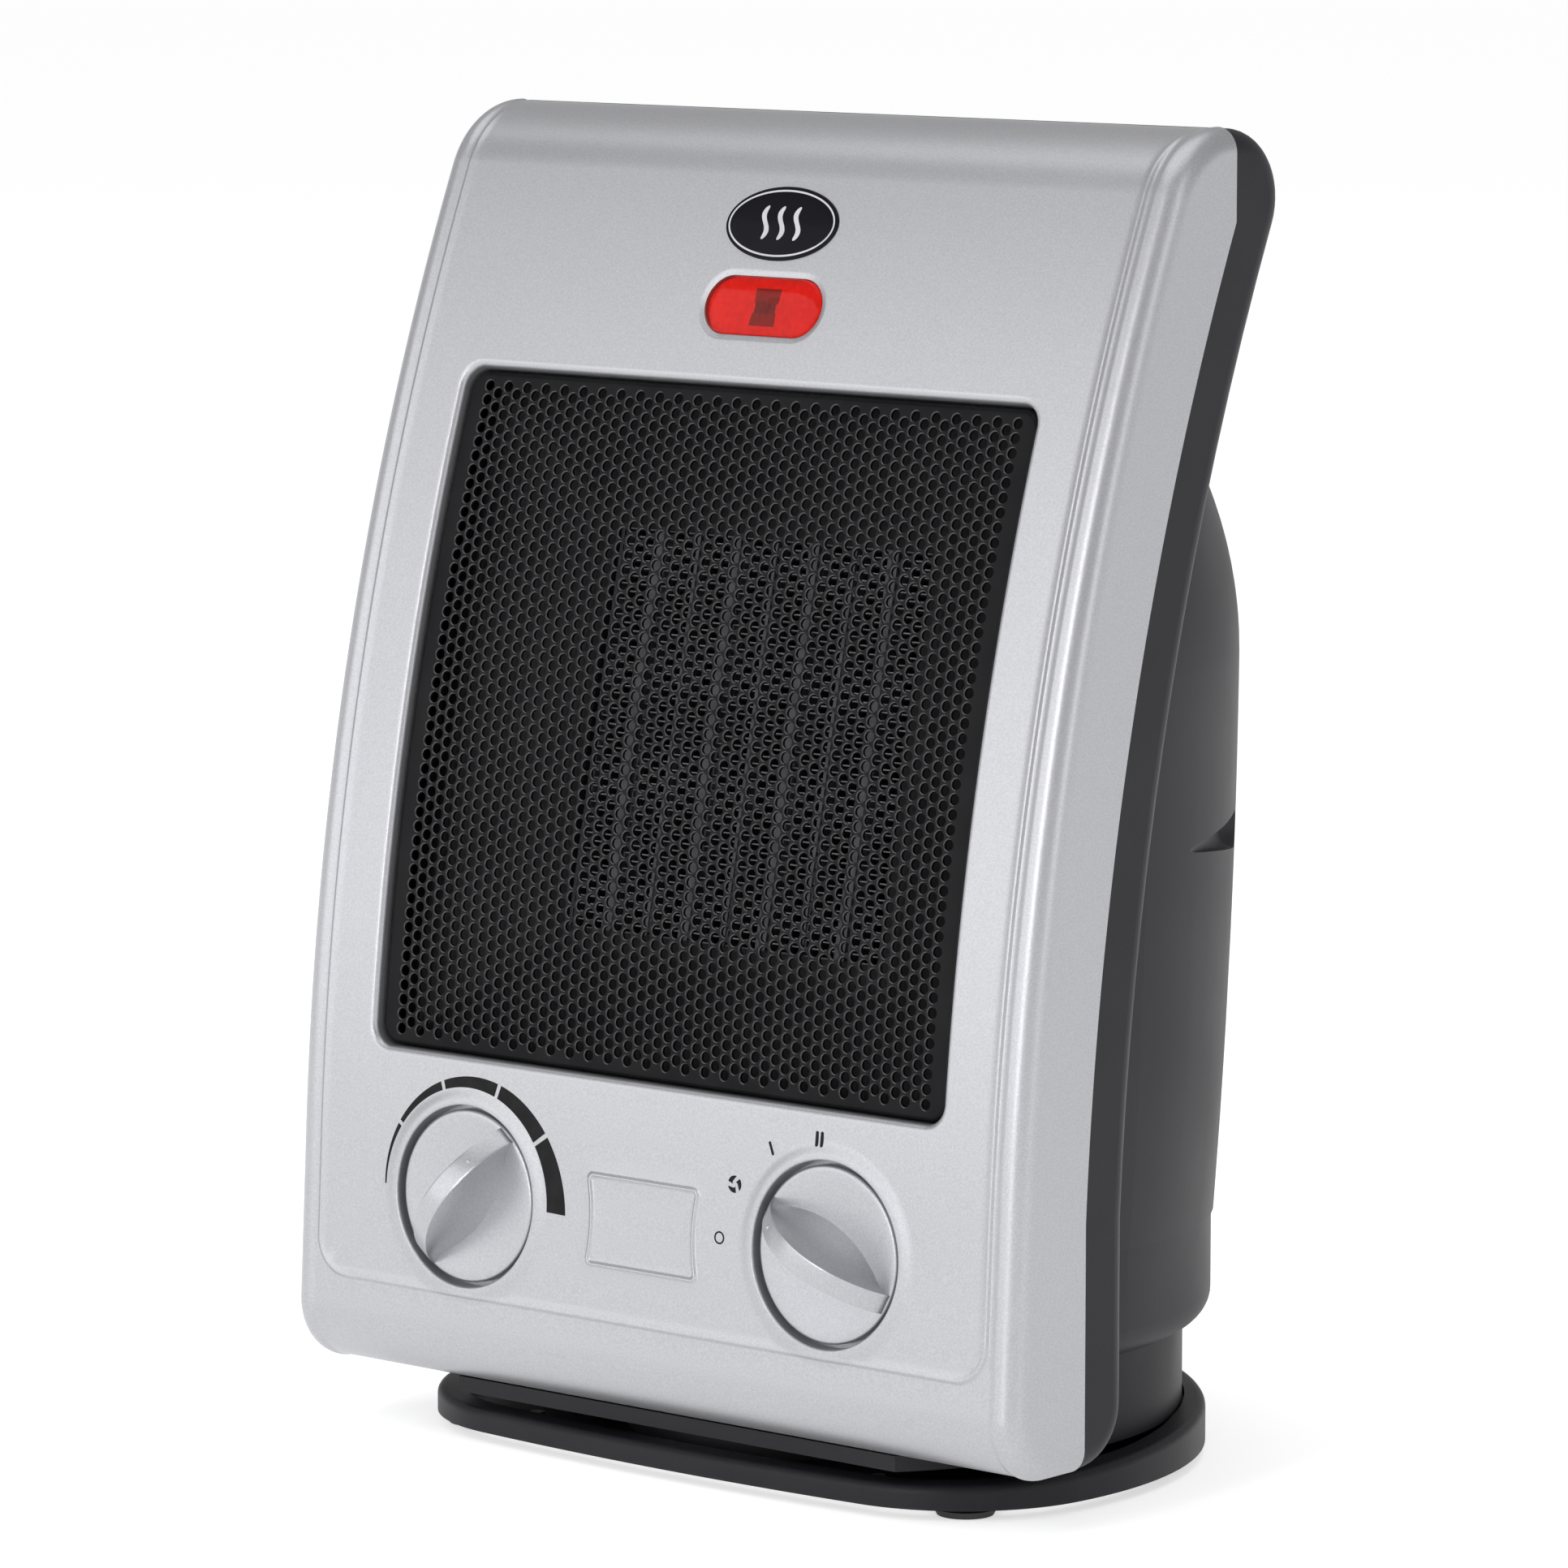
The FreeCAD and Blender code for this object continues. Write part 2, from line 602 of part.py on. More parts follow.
# ---------------------------------------------------------------- grille
def grille():
    half = size("opening_width") / 2 + size("grille_overlap")
    recess = size("grille_recess")
    back = recess + size("grille_sheet")
    low = size("opening_bottom") - size("grille_overlap")
    high = size("opening_top") + size("grille_overlap")

    def slab(shallow, deep, side, bottom, top):
        edges = [line(panel_point(bottom, deep), panel_point(bottom, shallow)),
                 arc_between(arc_centre, size("panel_arc") - shallow, panel_point(bottom, shallow),
                             panel_point(top, shallow)),
                 line(panel_point(top, shallow), panel_point(top, deep)),
                 arc_between(arc_centre, size("panel_arc") - deep, panel_point(top, deep),
                             panel_point(bottom, deep))]
        return extrude(edges, side)

    seat = wall + size("seat_gap")
    sheet_half = size("opening_width") / 2 - 0.3
    thin = slab(recess, back, sheet_half, size("opening_bottom") + 0.3, size("opening_top") - 0.3)
    lip = slab(seat, seat + size("grille_sheet"), half, low, high)
    step = slab(recess, seat + size("grille_sheet"), sheet_half, size("opening_bottom") + 0.3,
                size("opening_top") - 0.3)
    inside = slab(back, seat + 5, sheet_half - size("grille_sheet"), size("opening_bottom") + 1.1,
                  size("opening_top") - 1.1)
    corners = rounded_box(2 * sheet_half, size("opening_bottom") + 0.3, size("opening_top") - 0.3,
                          front_y - 20, front_y + 80, size("opening_corner") - 0.3)
    pan = thin.fuse(step).common(corners).fuse(lip).cut(inside)
    return pan


feature("grille", grille())

# ---------------------------------------------------------------- badge, lens, lamp
def ellipse_disc(wide, tall):
    curve = Part.Ellipse(Vector(), wide / 2, tall / 2)
    return Part.Face(Part.Wire(curve.toShape()))


badge = panel_prism(size("badge_level"), ellipse_disc(size("badge_width"), size("badge_height")),
                    -size("bead_rise") - 0.02, size("bead_rise") + 0.02 + size("badge_thick"))
feature("badge", badge)
lens_cap = panel_prism(size("lens_level"), pill(size("lens_width"), size("lens_height")), wall, 0.9)
lens_lip = panel_prism(size("lens_level"), pill(size("lens_width") + 5, size("lens_height") + 4),
                       wall + 1.8, -wall - 0.2)
lens_cap = lens_cap.fuse(panel_prism(size("lens_level"), pill(size("lens_width"), size("lens_height")),
                                     wall + 1.0, -wall + 0.5))
feature("indicator_lens", lens_cap.fuse(lens_lip))
holder_outer = panel_prism(size("lens_level"), pill(size("lens_width") + 3, size("lens_height") + 2),
                           wall + 13, -wall - 1.8)
holder_inner = panel_prism(size("lens_level"), pill(size("lens_width"), size("lens_height") - 1),
                           wall + 11.5, -wall)
lamp_seat = panel_point(size("lens_level"), wall + 9)
lamp = Part.makeCylinder(2.6, 12, Vector(-6, lamp_seat.y, lamp_seat.z), Vector(1, 0, 0))
post = Part.makeCylinder(3.6, 2.4, Vector(-6, lamp_seat.y, lamp_seat.z), Vector(1, 0, 0))
post = post.fuse(Part.makeCylinder(3.6, 2.4, Vector(3.6, lamp_seat.y, lamp_seat.z), Vector(1, 0, 0)))
lamp_holder = holder_outer.cut(holder_inner).fuse(post.common(holder_outer)).cut(lamp)
feature("lamp_holder", lamp_holder)
feature("neon_lamp", lamp)

# ---------------------------------------------------------------- heating element, in its own leaning frame
core_w = size("element_width")
core_h = size("element_height")
core_y = size("element_setback")
core_d = size("element_depth")
rim = size("element_rim")


def centred(wide, deep, tall, y, x=0.0, z=0.0):
    return Part.makeBox(wide, deep, tall, Vector(x - wide / 2, y, z - tall / 2))


frame_body = centred(core_w + 2 * rim, core_d, core_h + 2 * rim, core_y)
frame_body = frame_body.cut(centred(core_w, core_d, core_h, core_y))
feature("element_frame", frame_body, core_place)

tubes = int(size("tube_count"))
fin_lanes = 2 * tubes
lane = (core_w - tubes * size("tube_thick") - (tubes + 1) * size("fin_plate")) / fin_lanes
cell = 2 * lane + size("tube_thick") + size("fin_plate")


def plate_x(number):
    return -core_w / 2 + size("fin_plate") / 2 + number * cell


def tube_x(number):
    return plate_x(number) + cell / 2


stone_room = size("tube_thick") - 1.0
tube_set, stone_set = [], []
for number in range(tubes):
    tube = centred(size("tube_thick"), core_d - 2, core_h, core_y + 1, tube_x(number))
    tube_set.append(tube.cut(centred(stone_room, core_d - 4, core_h, core_y + 2, tube_x(number))))
    for row in range(3):
        stone_set.append(centred(stone_room, core_d - 4, core_h / 3 - 1.0, core_y + 2, tube_x(number),
                                 (row - 1) * core_h / 3))
feature("element_tubes", Part.makeCompound(tube_set), core_place)
feature("ptc_stones", Part.makeCompound(stone_set), core_place)
feature("fin_plates", Part.makeCompound([
    centred(size("fin_plate"), core_d - 3, core_h, core_y + 1.5, plate_x(number))
    for number in range(tubes + 1)]), core_place)


def fin_strip(left, right):
    """Folded foil: flat fins joined at alternate sides, as deep as the tubes."""
    foil = size("fin_foil")
    count = 2 * int(size("fin_waves"))
    step = (core_h - foil) / (count - 1)
    under, over = [Vector(left, 0, -core_h / 2)], [Vector(left, 0, -core_h / 2 + foil)]
    for fin in range(0, count, 2):
        low = -core_h / 2 + fin * step
        high = low + step
        under += [Vector(right, 0, low), Vector(right, 0, high + foil), Vector(left + foil, 0, high + foil)]
        over += [Vector(right - foil, 0, low + foil), Vector(right - foil, 0, high), Vector(left, 0, high)]
        if fin + 2 < count:
            under.append(Vector(left + foil, 0, high + step))
            over.append(Vector(left, 0, high + step + foil))
    under.append(Vector(left, 0, core_h / 2))
    over.pop()
    last = Vector(left, 0, core_h / 2 - foil)
    loop = under + [last] + list(reversed(over)) + [under[0]]
    return Part.Face(Part.makePolygon(loop)).extrude(Vector(0, core_d - 4, 0))


strips = []
for number in range(tubes):
    for left in (plate_x(number) + size("fin_plate") / 2, tube_x(number) + size("tube_thick") / 2):
        strip = fin_strip(left, left + lane)
        strip.translate(Vector(0, core_y + 2, 0))
        strips.append(strip)
feature("fin_strips", Part.makeCompound(strips), core_place)
tabs = [centred(4.8, 8, 0.8, core_y + core_d - 6, x, core_h / 2 + rim + 0.4) for x in (-24, 0, 24)]
feature("element_tabs", Part.makeCompound(tabs), core_place)

# ---------------------------------------------------------------- air duct in front of the element
duct_wall = size("duct_wall")
mouth_w = size("opening_width") + 2 * size("grille_overlap") + 1
mouth_h = chord.dot(high_chord - low_chord) + 2 * size("grille_overlap") + 1


def rectangle(wide, tall, y):
    w, t = wide / 2, tall / 2
    corners = [Vector(-w, y, -t), Vector(w, y, -t), Vector(w, y, t), Vector(-w, y, t), Vector(-w, y, -t)]
    return Part.makePolygon(corners)


def funnel(grow):
    throat_w, throat_h = core_w + 2 * rim - 2 * duct_wall, core_h + 2 * rim - 2 * duct_wall
    mouth = rectangle(mouth_w + 2 * grow, mouth_h + 2 * grow, -12)
    neck_in = rectangle(mouth_w + 2 * grow, mouth_h + 2 * grow, 5.0)
    throat = rectangle(throat_w + 2 * grow, throat_h + 2 * grow, core_y)
    front = Part.makeLoft([mouth, neck_in], True, True)
    return front.fuse(Part.makeLoft([neck_in, throat], True, True))


duct = funnel(duct_wall).cut(funnel(0))
duct.Placement = core_place
duct = duct.common(shell_region(wall, size("front_depth") + 30, wall))
for side in (-1, 1):
    duct = duct.cut(knob_well(side, well + 2.0, 30))
feature("air_duct", duct)

# ---------------------------------------------------------------- fan, motor and shroud
shroud_front = core_y + core_d
fan_radius = size("fan_diameter") / 2
ring_inner = fan_radius + size("fan_clearance")
fan_y = shroud_front + size("fan_setback")
shroud_depth = size("fan_setback") + size("fan_depth") + 3
along = Vector(0, 1, 0)
plate = centred(core_w + 2 * rim, duct_wall, core_h + 2 * rim, shroud_front)
plate = plate.cut(centred(core_w, duct_wall, core_h, shroud_front))
square_wall = centred(core_w + 2 * duct_wall, size("fan_setback") - 2, core_h + 2 * duct_wall, shroud_front)
square_wall = square_wall.cut(centred(core_w, size("fan_setback"), core_h, shroud_front - 0.5))
web_y = shroud_front + size("fan_setback") - 2
web = centred(core_w + 2 * duct_wall, duct_wall, core_h + 2 * duct_wall, web_y)
ring = Part.makeCylinder(ring_inner + duct_wall, shroud_depth - size("fan_setback") + 2,
                         Vector(0, web_y, 0), along)
bore = Part.makeCylinder(ring_inner, 60, Vector(0, web_y - 1, 0), along)
shroud = plate.fuse([square_wall, web, ring]).cut(bore)
motor_y = shroud_front + shroud_depth + 2
spokes = []
for turn in (45, 135, 225, 315):
    spoke = Part.makeBox(ring_inner + duct_wall, 2.4, 5, Vector(0, motor_y - 2.4, -2.5))
    spoke.rotate(Vector(), along, turn)
    spokes.append(spoke)
rim_ring = Part.makeCylinder(ring_inner + duct_wall, 2.4, Vector(0, motor_y - 2.4, 0), along).cut(
    Part.makeCylinder(ring_inner - 1, 2.4, Vector(0, motor_y - 2.4, 0), along))
ring_skirt = Part.makeCylinder(ring_inner + duct_wall, motor_y - web_y, Vector(0, web_y, 0), along).cut(
    Part.makeCylinder(ring_inner, motor_y - web_y, Vector(0, web_y, 0), along))
hub_plate = Part.makeCylinder(12, 2.4, Vector(0, motor_y - 2.4, 0), along)
shroud = shroud.fuse([rim_ring, ring_skirt, hub_plate] + spokes)
shroud = shroud.cut(Part.makeCylinder(size("motor_shaft") / 2 + 1.5, 80, Vector(0, web_y, 0), along))
feature("fan_shroud", shroud, core_place)

blades = []
hub_radius = size("hub_diameter") / 2
for number in range(int(size("fan_blades"))):
    root = Part.makeBox(fan_radius - hub_radius + 1, 1.4, 19,
                        Vector(hub_radius - 1, -0.7, -9.5))
    root.rotate(Vector(), Vector(1, 0, 0), 52)
    root.translate(Vector(0, fan_y + size("fan_depth") / 2, 0))
    root.rotate(Vector(), along, number * 360 / int(size("fan_blades")))
    blades.append(root)
hub = Part.makeCylinder(hub_radius, size("fan_depth"), Vector(0, fan_y, 0), along)
hub = hub.cut(Part.makeCylinder(hub_radius - 1.6, size("fan_depth") - 1.6, Vector(0, fan_y + 1.6, 0), along))
hub = hub.fuse(Part.makeCylinder(4.5, size("fan_depth") - 2, Vector(0, fan_y, 0), along))
envelope = Part.makeCylinder(fan_radius, size("fan_depth"), Vector(0, fan_y, 0), along)
clear = Part.makeCylinder(hub_radius - 0.8, 60, Vector(0, fan_y - 10, 0), along)
fan = hub.fuse([b.common(envelope).cut(clear) for b in blades])
fan = fan.cut(Part.makeCylinder(size("motor_shaft") / 2, 60, Vector(0, fan_y - 10, 0), along))
feature("fan", fan, core_place)

motor_half = size("motor_size") / 2
shaft_length = motor_y + size("motor_depth") + 12 - fan_y
shaft = Part.makeCylinder(size("motor_shaft") / 2, shaft_length, Vector(0, fan_y, 0), along)
rotor_y = motor_y + 6
rotor = Part.makeCylinder(11, size("motor_depth") - 8, Vector(0, rotor_y, 0), along)
feature("motor_rotor", shaft.fuse(rotor), core_place)
stator = centred(size("motor_size"), size("motor_depth") - 8, size("motor_size") + 12, rotor_y, 0, 6)
stator = stator.cut(Part.makeCylinder(11.4, 60, Vector(0, motor_y - 5, 0), along))
stator = stator.cut(centred(16, 60, 14, motor_y - 5, 0, 22))
feature("motor_stator", stator, core_place)
coil = centred(15.6, size("motor_depth") - 8, 13.6, rotor_y, 0, 22)
feature("motor_coil", coil, core_place)
bore = Part.makeCylinder(size("motor_shaft") / 2 + size("motor_fit"), 90, Vector(0, motor_y - 10, 0), along)


def bearing_bridge(y, thick):
    bar = centred(size("motor_size"), thick, 14, y)
    boss = Part.makeCylinder(7, thick, Vector(0, y, 0), along)
    return bar.fuse(boss)


front_bridge = bearing_bridge(motor_y, 3).cut(bore)
for side in (-1, 1):
    front_bridge = front_bridge.fuse(centred(6, rotor_y - motor_y, 14, motor_y, side * (motor_half - 3)))
back_y = rotor_y + size("motor_depth") - 8
back_bridge = bearing_bridge(back_y + 3, 3).cut(bore)
for side in (-1, 1):
    back_bridge = back_bridge.fuse(centred(6, 6, 14, back_y, side * (motor_half - 3)))
feature("front_bearing_bridge", front_bridge, core_place)
feature("rear_bearing_bridge", back_bridge, core_place)
feature("thermal_cutout", Part.makeCylinder(5.5, 4.0, Vector(37, core_y + core_d / 2, core_h / 2 + rim)),
        core_place)

# ---------------------------------------------------------------- controls
shaft_radius = size("shaft_diameter") / 2
disc_depth = size("knob_disc_depth")


def panel_place(side, level, inward, turn=0.0):
    """Local +Z square out of the panel, +X to the right, turned about the outward normal."""
    normal = panel_normal(level)
    frame_turn = Rotation(Vector(1, 0, 0), Vector(0, abs(normal.z), abs(normal.y)), normal, "XZY")
    spin = Rotation(Vector(0, 0, 1), turn)
    base = panel_point(level, inward) + Vector(side * knob_half, 0, 0)
    return Placement(base, frame_turn * spin)


def knob_body(label, side, rest):
    """Disc turned from a sketch, with a lens-shaped grip padded on its face."""
    body = doc.addObject("PartDesign::Body", label)
    origin = {f.Role: f for f in body.Origin.OriginFeatures}
    profile = body.newObject("Sketcher::SketchObject", label + "_profile")
    profile.AttachmentSupport = [(origin["XZ_Plane"], "")]
    profile.MapMode = "FlatFace"
    r, b, d = size("knob_diameter") / 2, shaft_radius + size("shaft_fit"), disc_depth
    corners = [Vector(b, 0, 0), Vector(r, 0, 0), Vector(r, d, 0), Vector(b, d, 0)]
    for k in range(4):
        profile.addGeometry(Part.LineSegment(corners[k], corners[(k + 1) % 4]), False)
    for k in range(4):
        profile.addConstraint(Sketcher.Constraint("Coincident", k, 2, (k + 1) % 4, 1))
    for k, kind in enumerate(("Horizontal", "Vertical", "Horizontal", "Vertical")):
        profile.addConstraint(Sketcher.Constraint(kind, k))
    inner = profile.addConstraint(Sketcher.Constraint("DistanceX", -1, 1, 0, 1, b))
    outer_c = profile.addConstraint(Sketcher.Constraint("DistanceX", -1, 1, 0, 2, r))
    deep = profile.addConstraint(Sketcher.Constraint("DistanceY", 1, 1, 1, 2, d))
    profile.addConstraint(Sketcher.Constraint("PointOnObject", 0, 1, -1))
    profile.setExpression("Constraints[%d]" % inner, "sizes.shaft_diameter / 2 + sizes.shaft_fit")
    profile.setExpression("Constraints[%d]" % outer_c, "sizes.knob_diameter / 2")
    profile.setExpression("Constraints[%d]" % deep, "sizes.knob_disc_depth")
    turn = body.newObject("PartDesign::Revolution", label + "_disc")
    turn.Profile = profile
    turn.ReferenceAxis = (profile, ["V_Axis"])
    turn.Angle = 360
    grip = body.newObject("Sketcher::SketchObject", label + "_grip_outline")
    grip.AttachmentSupport = [(origin["XY_Plane"], "")]
    grip.MapMode = "FlatFace"
    grip.AttachmentOffset = Placement(Vector(0, 0, disc_depth - 1.5), Rotation())
    grip.setExpression(".AttachmentOffset.Base.z", "sizes.knob_disc_depth - 1.5")
    reach = size("knob_diameter") / 2 - 0.8
    bulge = size("grip_width") / 2
    arc_radius = (reach ** 2 + bulge ** 2) / (2 * bulge)
    for flip in (1, -1):
        centre = Vector(0, -flip * (arc_radius - bulge), 0)
        half = math.asin(reach / arc_radius)
        middle = math.pi / 2 if flip == 1 else -math.pi / 2
        circle = Part.Circle(centre, Vector(0, 0, 1), arc_radius)
        grip.addGeometry(Part.ArcOfCircle(circle, middle - half, middle + half), False)
    grip.addConstraint(Sketcher.Constraint("Coincident", 0, 1, 1, 2))
    grip.addConstraint(Sketcher.Constraint("Coincident", 0, 2, 1, 1))
    radii = grip.addConstraint(Sketcher.Constraint("Radius", 0, arc_radius))
    grip.addConstraint(Sketcher.Constraint("Equal", 0, 1))
    grip.addConstraint(Sketcher.Constraint("PointOnObject", 0, 1, -1))
    grip.addConstraint(Sketcher.Constraint("Symmetric", 0, 1, 0, 2, -1, 1))
    tip = grip.addConstraint(Sketcher.Constraint("DistanceX", -1, 1, 0, 1, reach))
    grip.setExpression("Constraints[%d]" % tip, "sizes.knob_diameter / 2 - 0.8")
    grip.setExpression("Constraints[%d]" % radii,
                       "((sizes.knob_diameter / 2 - 0.8)^2 + (sizes.grip_width / 2)^2)"
                       " / sizes.grip_width")
    pad = body.newObject("PartDesign::Pad", label + "_grip")
    pad.Profile = grip
    pad.Length = size("grip_height")
    pad.setExpression("Length", "sizes.grip_height + 1.5")
    body.Placement = panel_place(side, size("knob_level"), size("knob_sink"), rest)
    return keep(label, body)


knob_body("thermostat_knob", -1, size("thermostat_rest"))
knob_body("function_knob", 1, size("function_rest"))


def spindle(label, side, rest):
    """Shaft from the knob's face back into its control."""
    item = doc.addObject("Part::Cylinder", label)
    item.setExpression("Radius", "sizes.shaft_diameter / 2")
    item.setExpression("Height", "sizes.knob_disc_depth + 9")
    item.Placement = panel_place(side, size("knob_level"), size("knob_sink") + 10.5, rest)
    return keep(label, item)


spindle("thermostat_shaft", -1, size("thermostat_rest"))
spindle("function_shaft", 1, size("function_rest"))


def control_case(label, side, wide, tall, deep):
    shelf = size("knob_sink") + size("seat_gap") + 1.6 + 0.2
    case = Part.makeBox(wide, tall, deep, Vector(-wide / 2, -tall / 2, -shelf - deep))
    pocket = Part.makeCylinder(shaft_radius + size("shaft_fit"), 80, Vector(0, 0, -shelf - 9))
    case = case.cut(pocket)
    return feature(label, case, panel_place(side, size("knob_level"), 0))


control_case("thermostat", -1, 30, 26, 17)
control_case("function_switch", 1, 32, 32, 18)

# ---------------------------------------------------------------- base
def base_outline(inset=0.0):
    """Round base with a flattened front: rear arc, two corner arcs and a shallow front arc."""
    centre = Vector(0, axis_y + size("base_back") - size("base_radius"), 0)
    radius, corner = size("base_radius"), size("base_corner")
    spread = size("base_corner_half")
    drop = math.sqrt((radius - corner) ** 2 - spread ** 2)
    knuckle = Vector(spread, centre.y - drop, 0)
    nose = axis_y - size("base_front")
    gap = knuckle.y - nose
    front_arc = (spread ** 2 + gap ** 2 - corner ** 2) / (2 * (gap - corner))
    front_centre = Vector(0, nose + front_arc, 0)
    side_point = knuckle + (knuckle - centre).normalize() * (corner - inset)
    front_point = knuckle + (knuckle - front_centre).normalize() * (corner - inset)
    mid_way = ((knuckle - centre).normalize() + (knuckle - front_centre).normalize()).normalize()
    mirror = lambda p: Vector(-p.x, p.y, p.z)
    mid_corner = knuckle + mid_way * (corner - inset)
    back = Vector(0, centre.y + radius - inset, 0)
    front = Vector(0, nose + inset, 0)
    return Part.Wire([
        Part.Arc(side_point, back, mirror(side_point)).toShape(),
        Part.Arc(mirror(side_point), mirror(mid_corner), mirror(front_point)).toShape(),
        Part.Arc(mirror(front_point), front, front_point).toShape(),
        Part.Arc(front_point, mid_corner, side_point).toShape(),
    ])


def base_slab(inset, low, high):
    face = Part.Face(base_outline(inset))
    face.translate(Vector(0, 0, low))
    return face.extrude(Vector(0, 0, high - low))


under = size("base_underside")
rim_front, rim_back = size("base_front_rim"), size("base_back_rim")
nose_y, tail_y = axis_y - size("base_front"), axis_y + size("base_back")
dish = base_slab(0, under, rim_back + 3)
over_rim = Part.Face(Part.makePolygon([
    Vector(0, nose_y - 40, rim_front - (rim_back - rim_front) * 40 / (tail_y - nose_y)),
    Vector(0, tail_y + 40, rim_back + (rim_back - rim_front) * 40 / (tail_y - nose_y)),
    Vector(0, tail_y + 40, 60), Vector(0, nose_y - 40, 60),
    Vector(0, nose_y - 40, rim_front - (rim_back - rim_front) * 40 / (tail_y - nose_y))]))
over_rim.translate(Vector(-200, 0, 0))
dish = dish.cut(over_rim.extrude(Vector(400, 0, 0)))
top_edges = [e for e in dish.Edges if e.BoundBox.ZMin > under + 1 and e.BoundBox.ZLength < 20
             and e.valueAt(e.FirstParameter).z > rim_front - 1 and e.BoundBox.XLength > 5]
dish = dish.makeFillet(1.6, top_edges)
floor_z = under + size("base_floor")
deck_z = size("neck_bottom") - size("washer_thick")
recess = base_slab(size("base_rim_width"), floor_z, 60).common(
    Part.makeCylinder(size("neck_radius") + size("neck_gap"), 60,
                      Vector(0, axis_y - 1.2, floor_z)))
collar = Part.makeCylinder(size("neck_radius") + size("neck_fit"), 60,
                           Vector(0, axis_y, size("neck_bottom") - size("neck_fit")))
dish = dish.cut(recess).cut(collar)
dish = dish.fuse(Part.makeCylinder(size("washer_outer"), deck_z - floor_z, Vector(0, axis_y, floor_z)).cut(
    Part.makeCylinder(size("washer_inner"), 20, Vector(0, axis_y, floor_z))))
post_top = bottom_z + 0.6
dish = dish.fuse(Part.makeCylinder(size("pivot_radius"), post_top - floor_z, Vector(0, axis_y, floor_z)))
dish = dish.cut(Part.makeCylinder(size("screw_radius"), 60, Vector(0, axis_y, floor_z + 1)))
feet_places = []
for sx in (-1, 1):
    feet_places.append(Vector(sx * (size("base_corner_half") + size("base_corner") - 17), nose_y + 17, 0))
    feet_places.append(Vector(sx * 40, tail_y - 27, 0))
plate_low = under - size("plate_thick")
screw_places = [Vector(sx * 46, y, 0) for sx in (-1, 1) for y in (nose_y + 14, axis_y + 30)]
for place in screw_places:
    dish = dish.cut(Part.makeCylinder(size("screw_radius") - 0.25, 3.4, place + Vector(0, 0, under)))
feature("base_dish", dish.removeSplitter())


def plate_body():
    """Steel bottom plate: a padded sketch of the base outline with pocketed screw holes."""
    body = doc.addObject("PartDesign::Body", "bottom_plate")
    origin = {f.Role: f for f in body.Origin.OriginFeatures}
    outline = body.newObject("Sketcher::SketchObject", "bottom_plate_outline")
    outline.AttachmentSupport = [(origin["XY_Plane"], "")]
    outline.MapMode = "FlatFace"
    for edge in base_outline(size("foot_inset") - 6).Edges:
        outline.addGeometry(arc_of(edge), False)
    for k in range(4):
        outline.addConstraint(Sketcher.Constraint("Coincident", k, 2, (k + 1) % 4, 1))
    pad = body.newObject("PartDesign::Pad", "bottom_plate_sheet")
    pad.Profile = outline
    pad.setExpression("Length", "sizes.plate_thick")
    doc.recompute()
    holes = body.newObject("Sketcher::SketchObject", "bottom_plate_holes")
    holes.AttachmentSupport = [(origin["XY_Plane"], "")]
    holes.MapMode = "FlatFace"
    for k, place in enumerate(screw_places):
        holes.addGeometry(Part.Circle(place, Vector(0, 0, 1), size("screw_radius")), False)
        fit = holes.addConstraint(Sketcher.Constraint("Radius", k, size("screw_radius")))
        holes.setExpression("Constraints[%d]" % fit, "sizes.screw_radius")
    pocket = body.newObject("PartDesign::Pocket", "bottom_plate_screw_holes")
    pocket.Profile = holes
    pocket.Type = "ThroughAll"
    pocket.Midplane = True
    body.Placement = Placement(Vector(0, 0, plate_low), Rotation())
    return keep("bottom_plate", body)


def arc_of(edge):
    """Sketch arc with the ends of an edge in order."""
    ends = edge.Vertexes
    middle = edge.valueAt((edge.FirstParameter + edge.LastParameter) / 2)
    return Part.Arc(ends[0].Point, middle, ends[-1].Point)


plate_body()


def bound_cylinder(label, radius, height, at, tilt=None):
    item = doc.addObject("Part::Cylinder", label)
    item.setExpression("Radius", radius)
    item.setExpression("Height", height)
    item.Placement = Placement(at, tilt or Rotation())
    return item


def ring_part(label, outer, inner, height, at):
    """Flat ring cut from two cylinders whose sizes follow the sheet."""
    solid = bound_cylinder(label + "_blank", outer, height, at)
    hole = bound_cylinder(label + "_hole", inner, height, at)
    item = doc.addObject("Part::Cut", label)
    item.Base = solid
    item.Tool = hole
    return keep(label, item)


ring_part("thrust_washer", "sizes.washer_outer", "sizes.washer_inner", "sizes.washer_thick",
          Vector(0, axis_y, deck_z))
ring_part("pivot_washer", "sizes.pivot_radius + 6", "sizes.screw_radius + 0.2", "1.2",
          Vector(0, axis_y, post_top))


def screw(at, direction, length, radius=size("screw_radius"), head=1.8):
    """Pan-head screw: the head's underside at the given point, the shank along direction."""
    shank = Part.makeCylinder(radius, length, at, direction)
    top = at - direction * head
    pan = Part.makeCylinder(size("screw_head"), head, top, direction)
    slot = Part.makeBox(0.8, 8, head / 2, Vector(-0.4, -4, 0))
    slot.Placement = Placement(top, Rotation(Vector(0, 0, 1), direction))
    return pan.fuse(shank).cut(slot)


up, down = Vector(0, 0, 1), Vector(0, 0, -1)
feature("shell_screws", Part.makeCompound([
    screw(panel_point(level, frame_back) + Vector(x, 0, 0), panel_normal(level), size("screw_length"))
    for x, level in boss_places]))
feature("housing_screws", Part.makeCompound([
    screw(panel_point(level, frame_back - wall) + Vector(x, 0, 0), panel_normal(level) * -1,
          size("screw_length")) for x, level in lug_places]))
feature("pivot_screw", screw(Vector(0, axis_y, post_top + 1.2), down, size("screw_length") - 1))
feature("plate_screws", Part.makeCompound([
    screw(place + Vector(0, 0, plate_low), up, 4.0, size("screw_radius") - 0.25, plate_low - 0.4)
    for place in screw_places]))


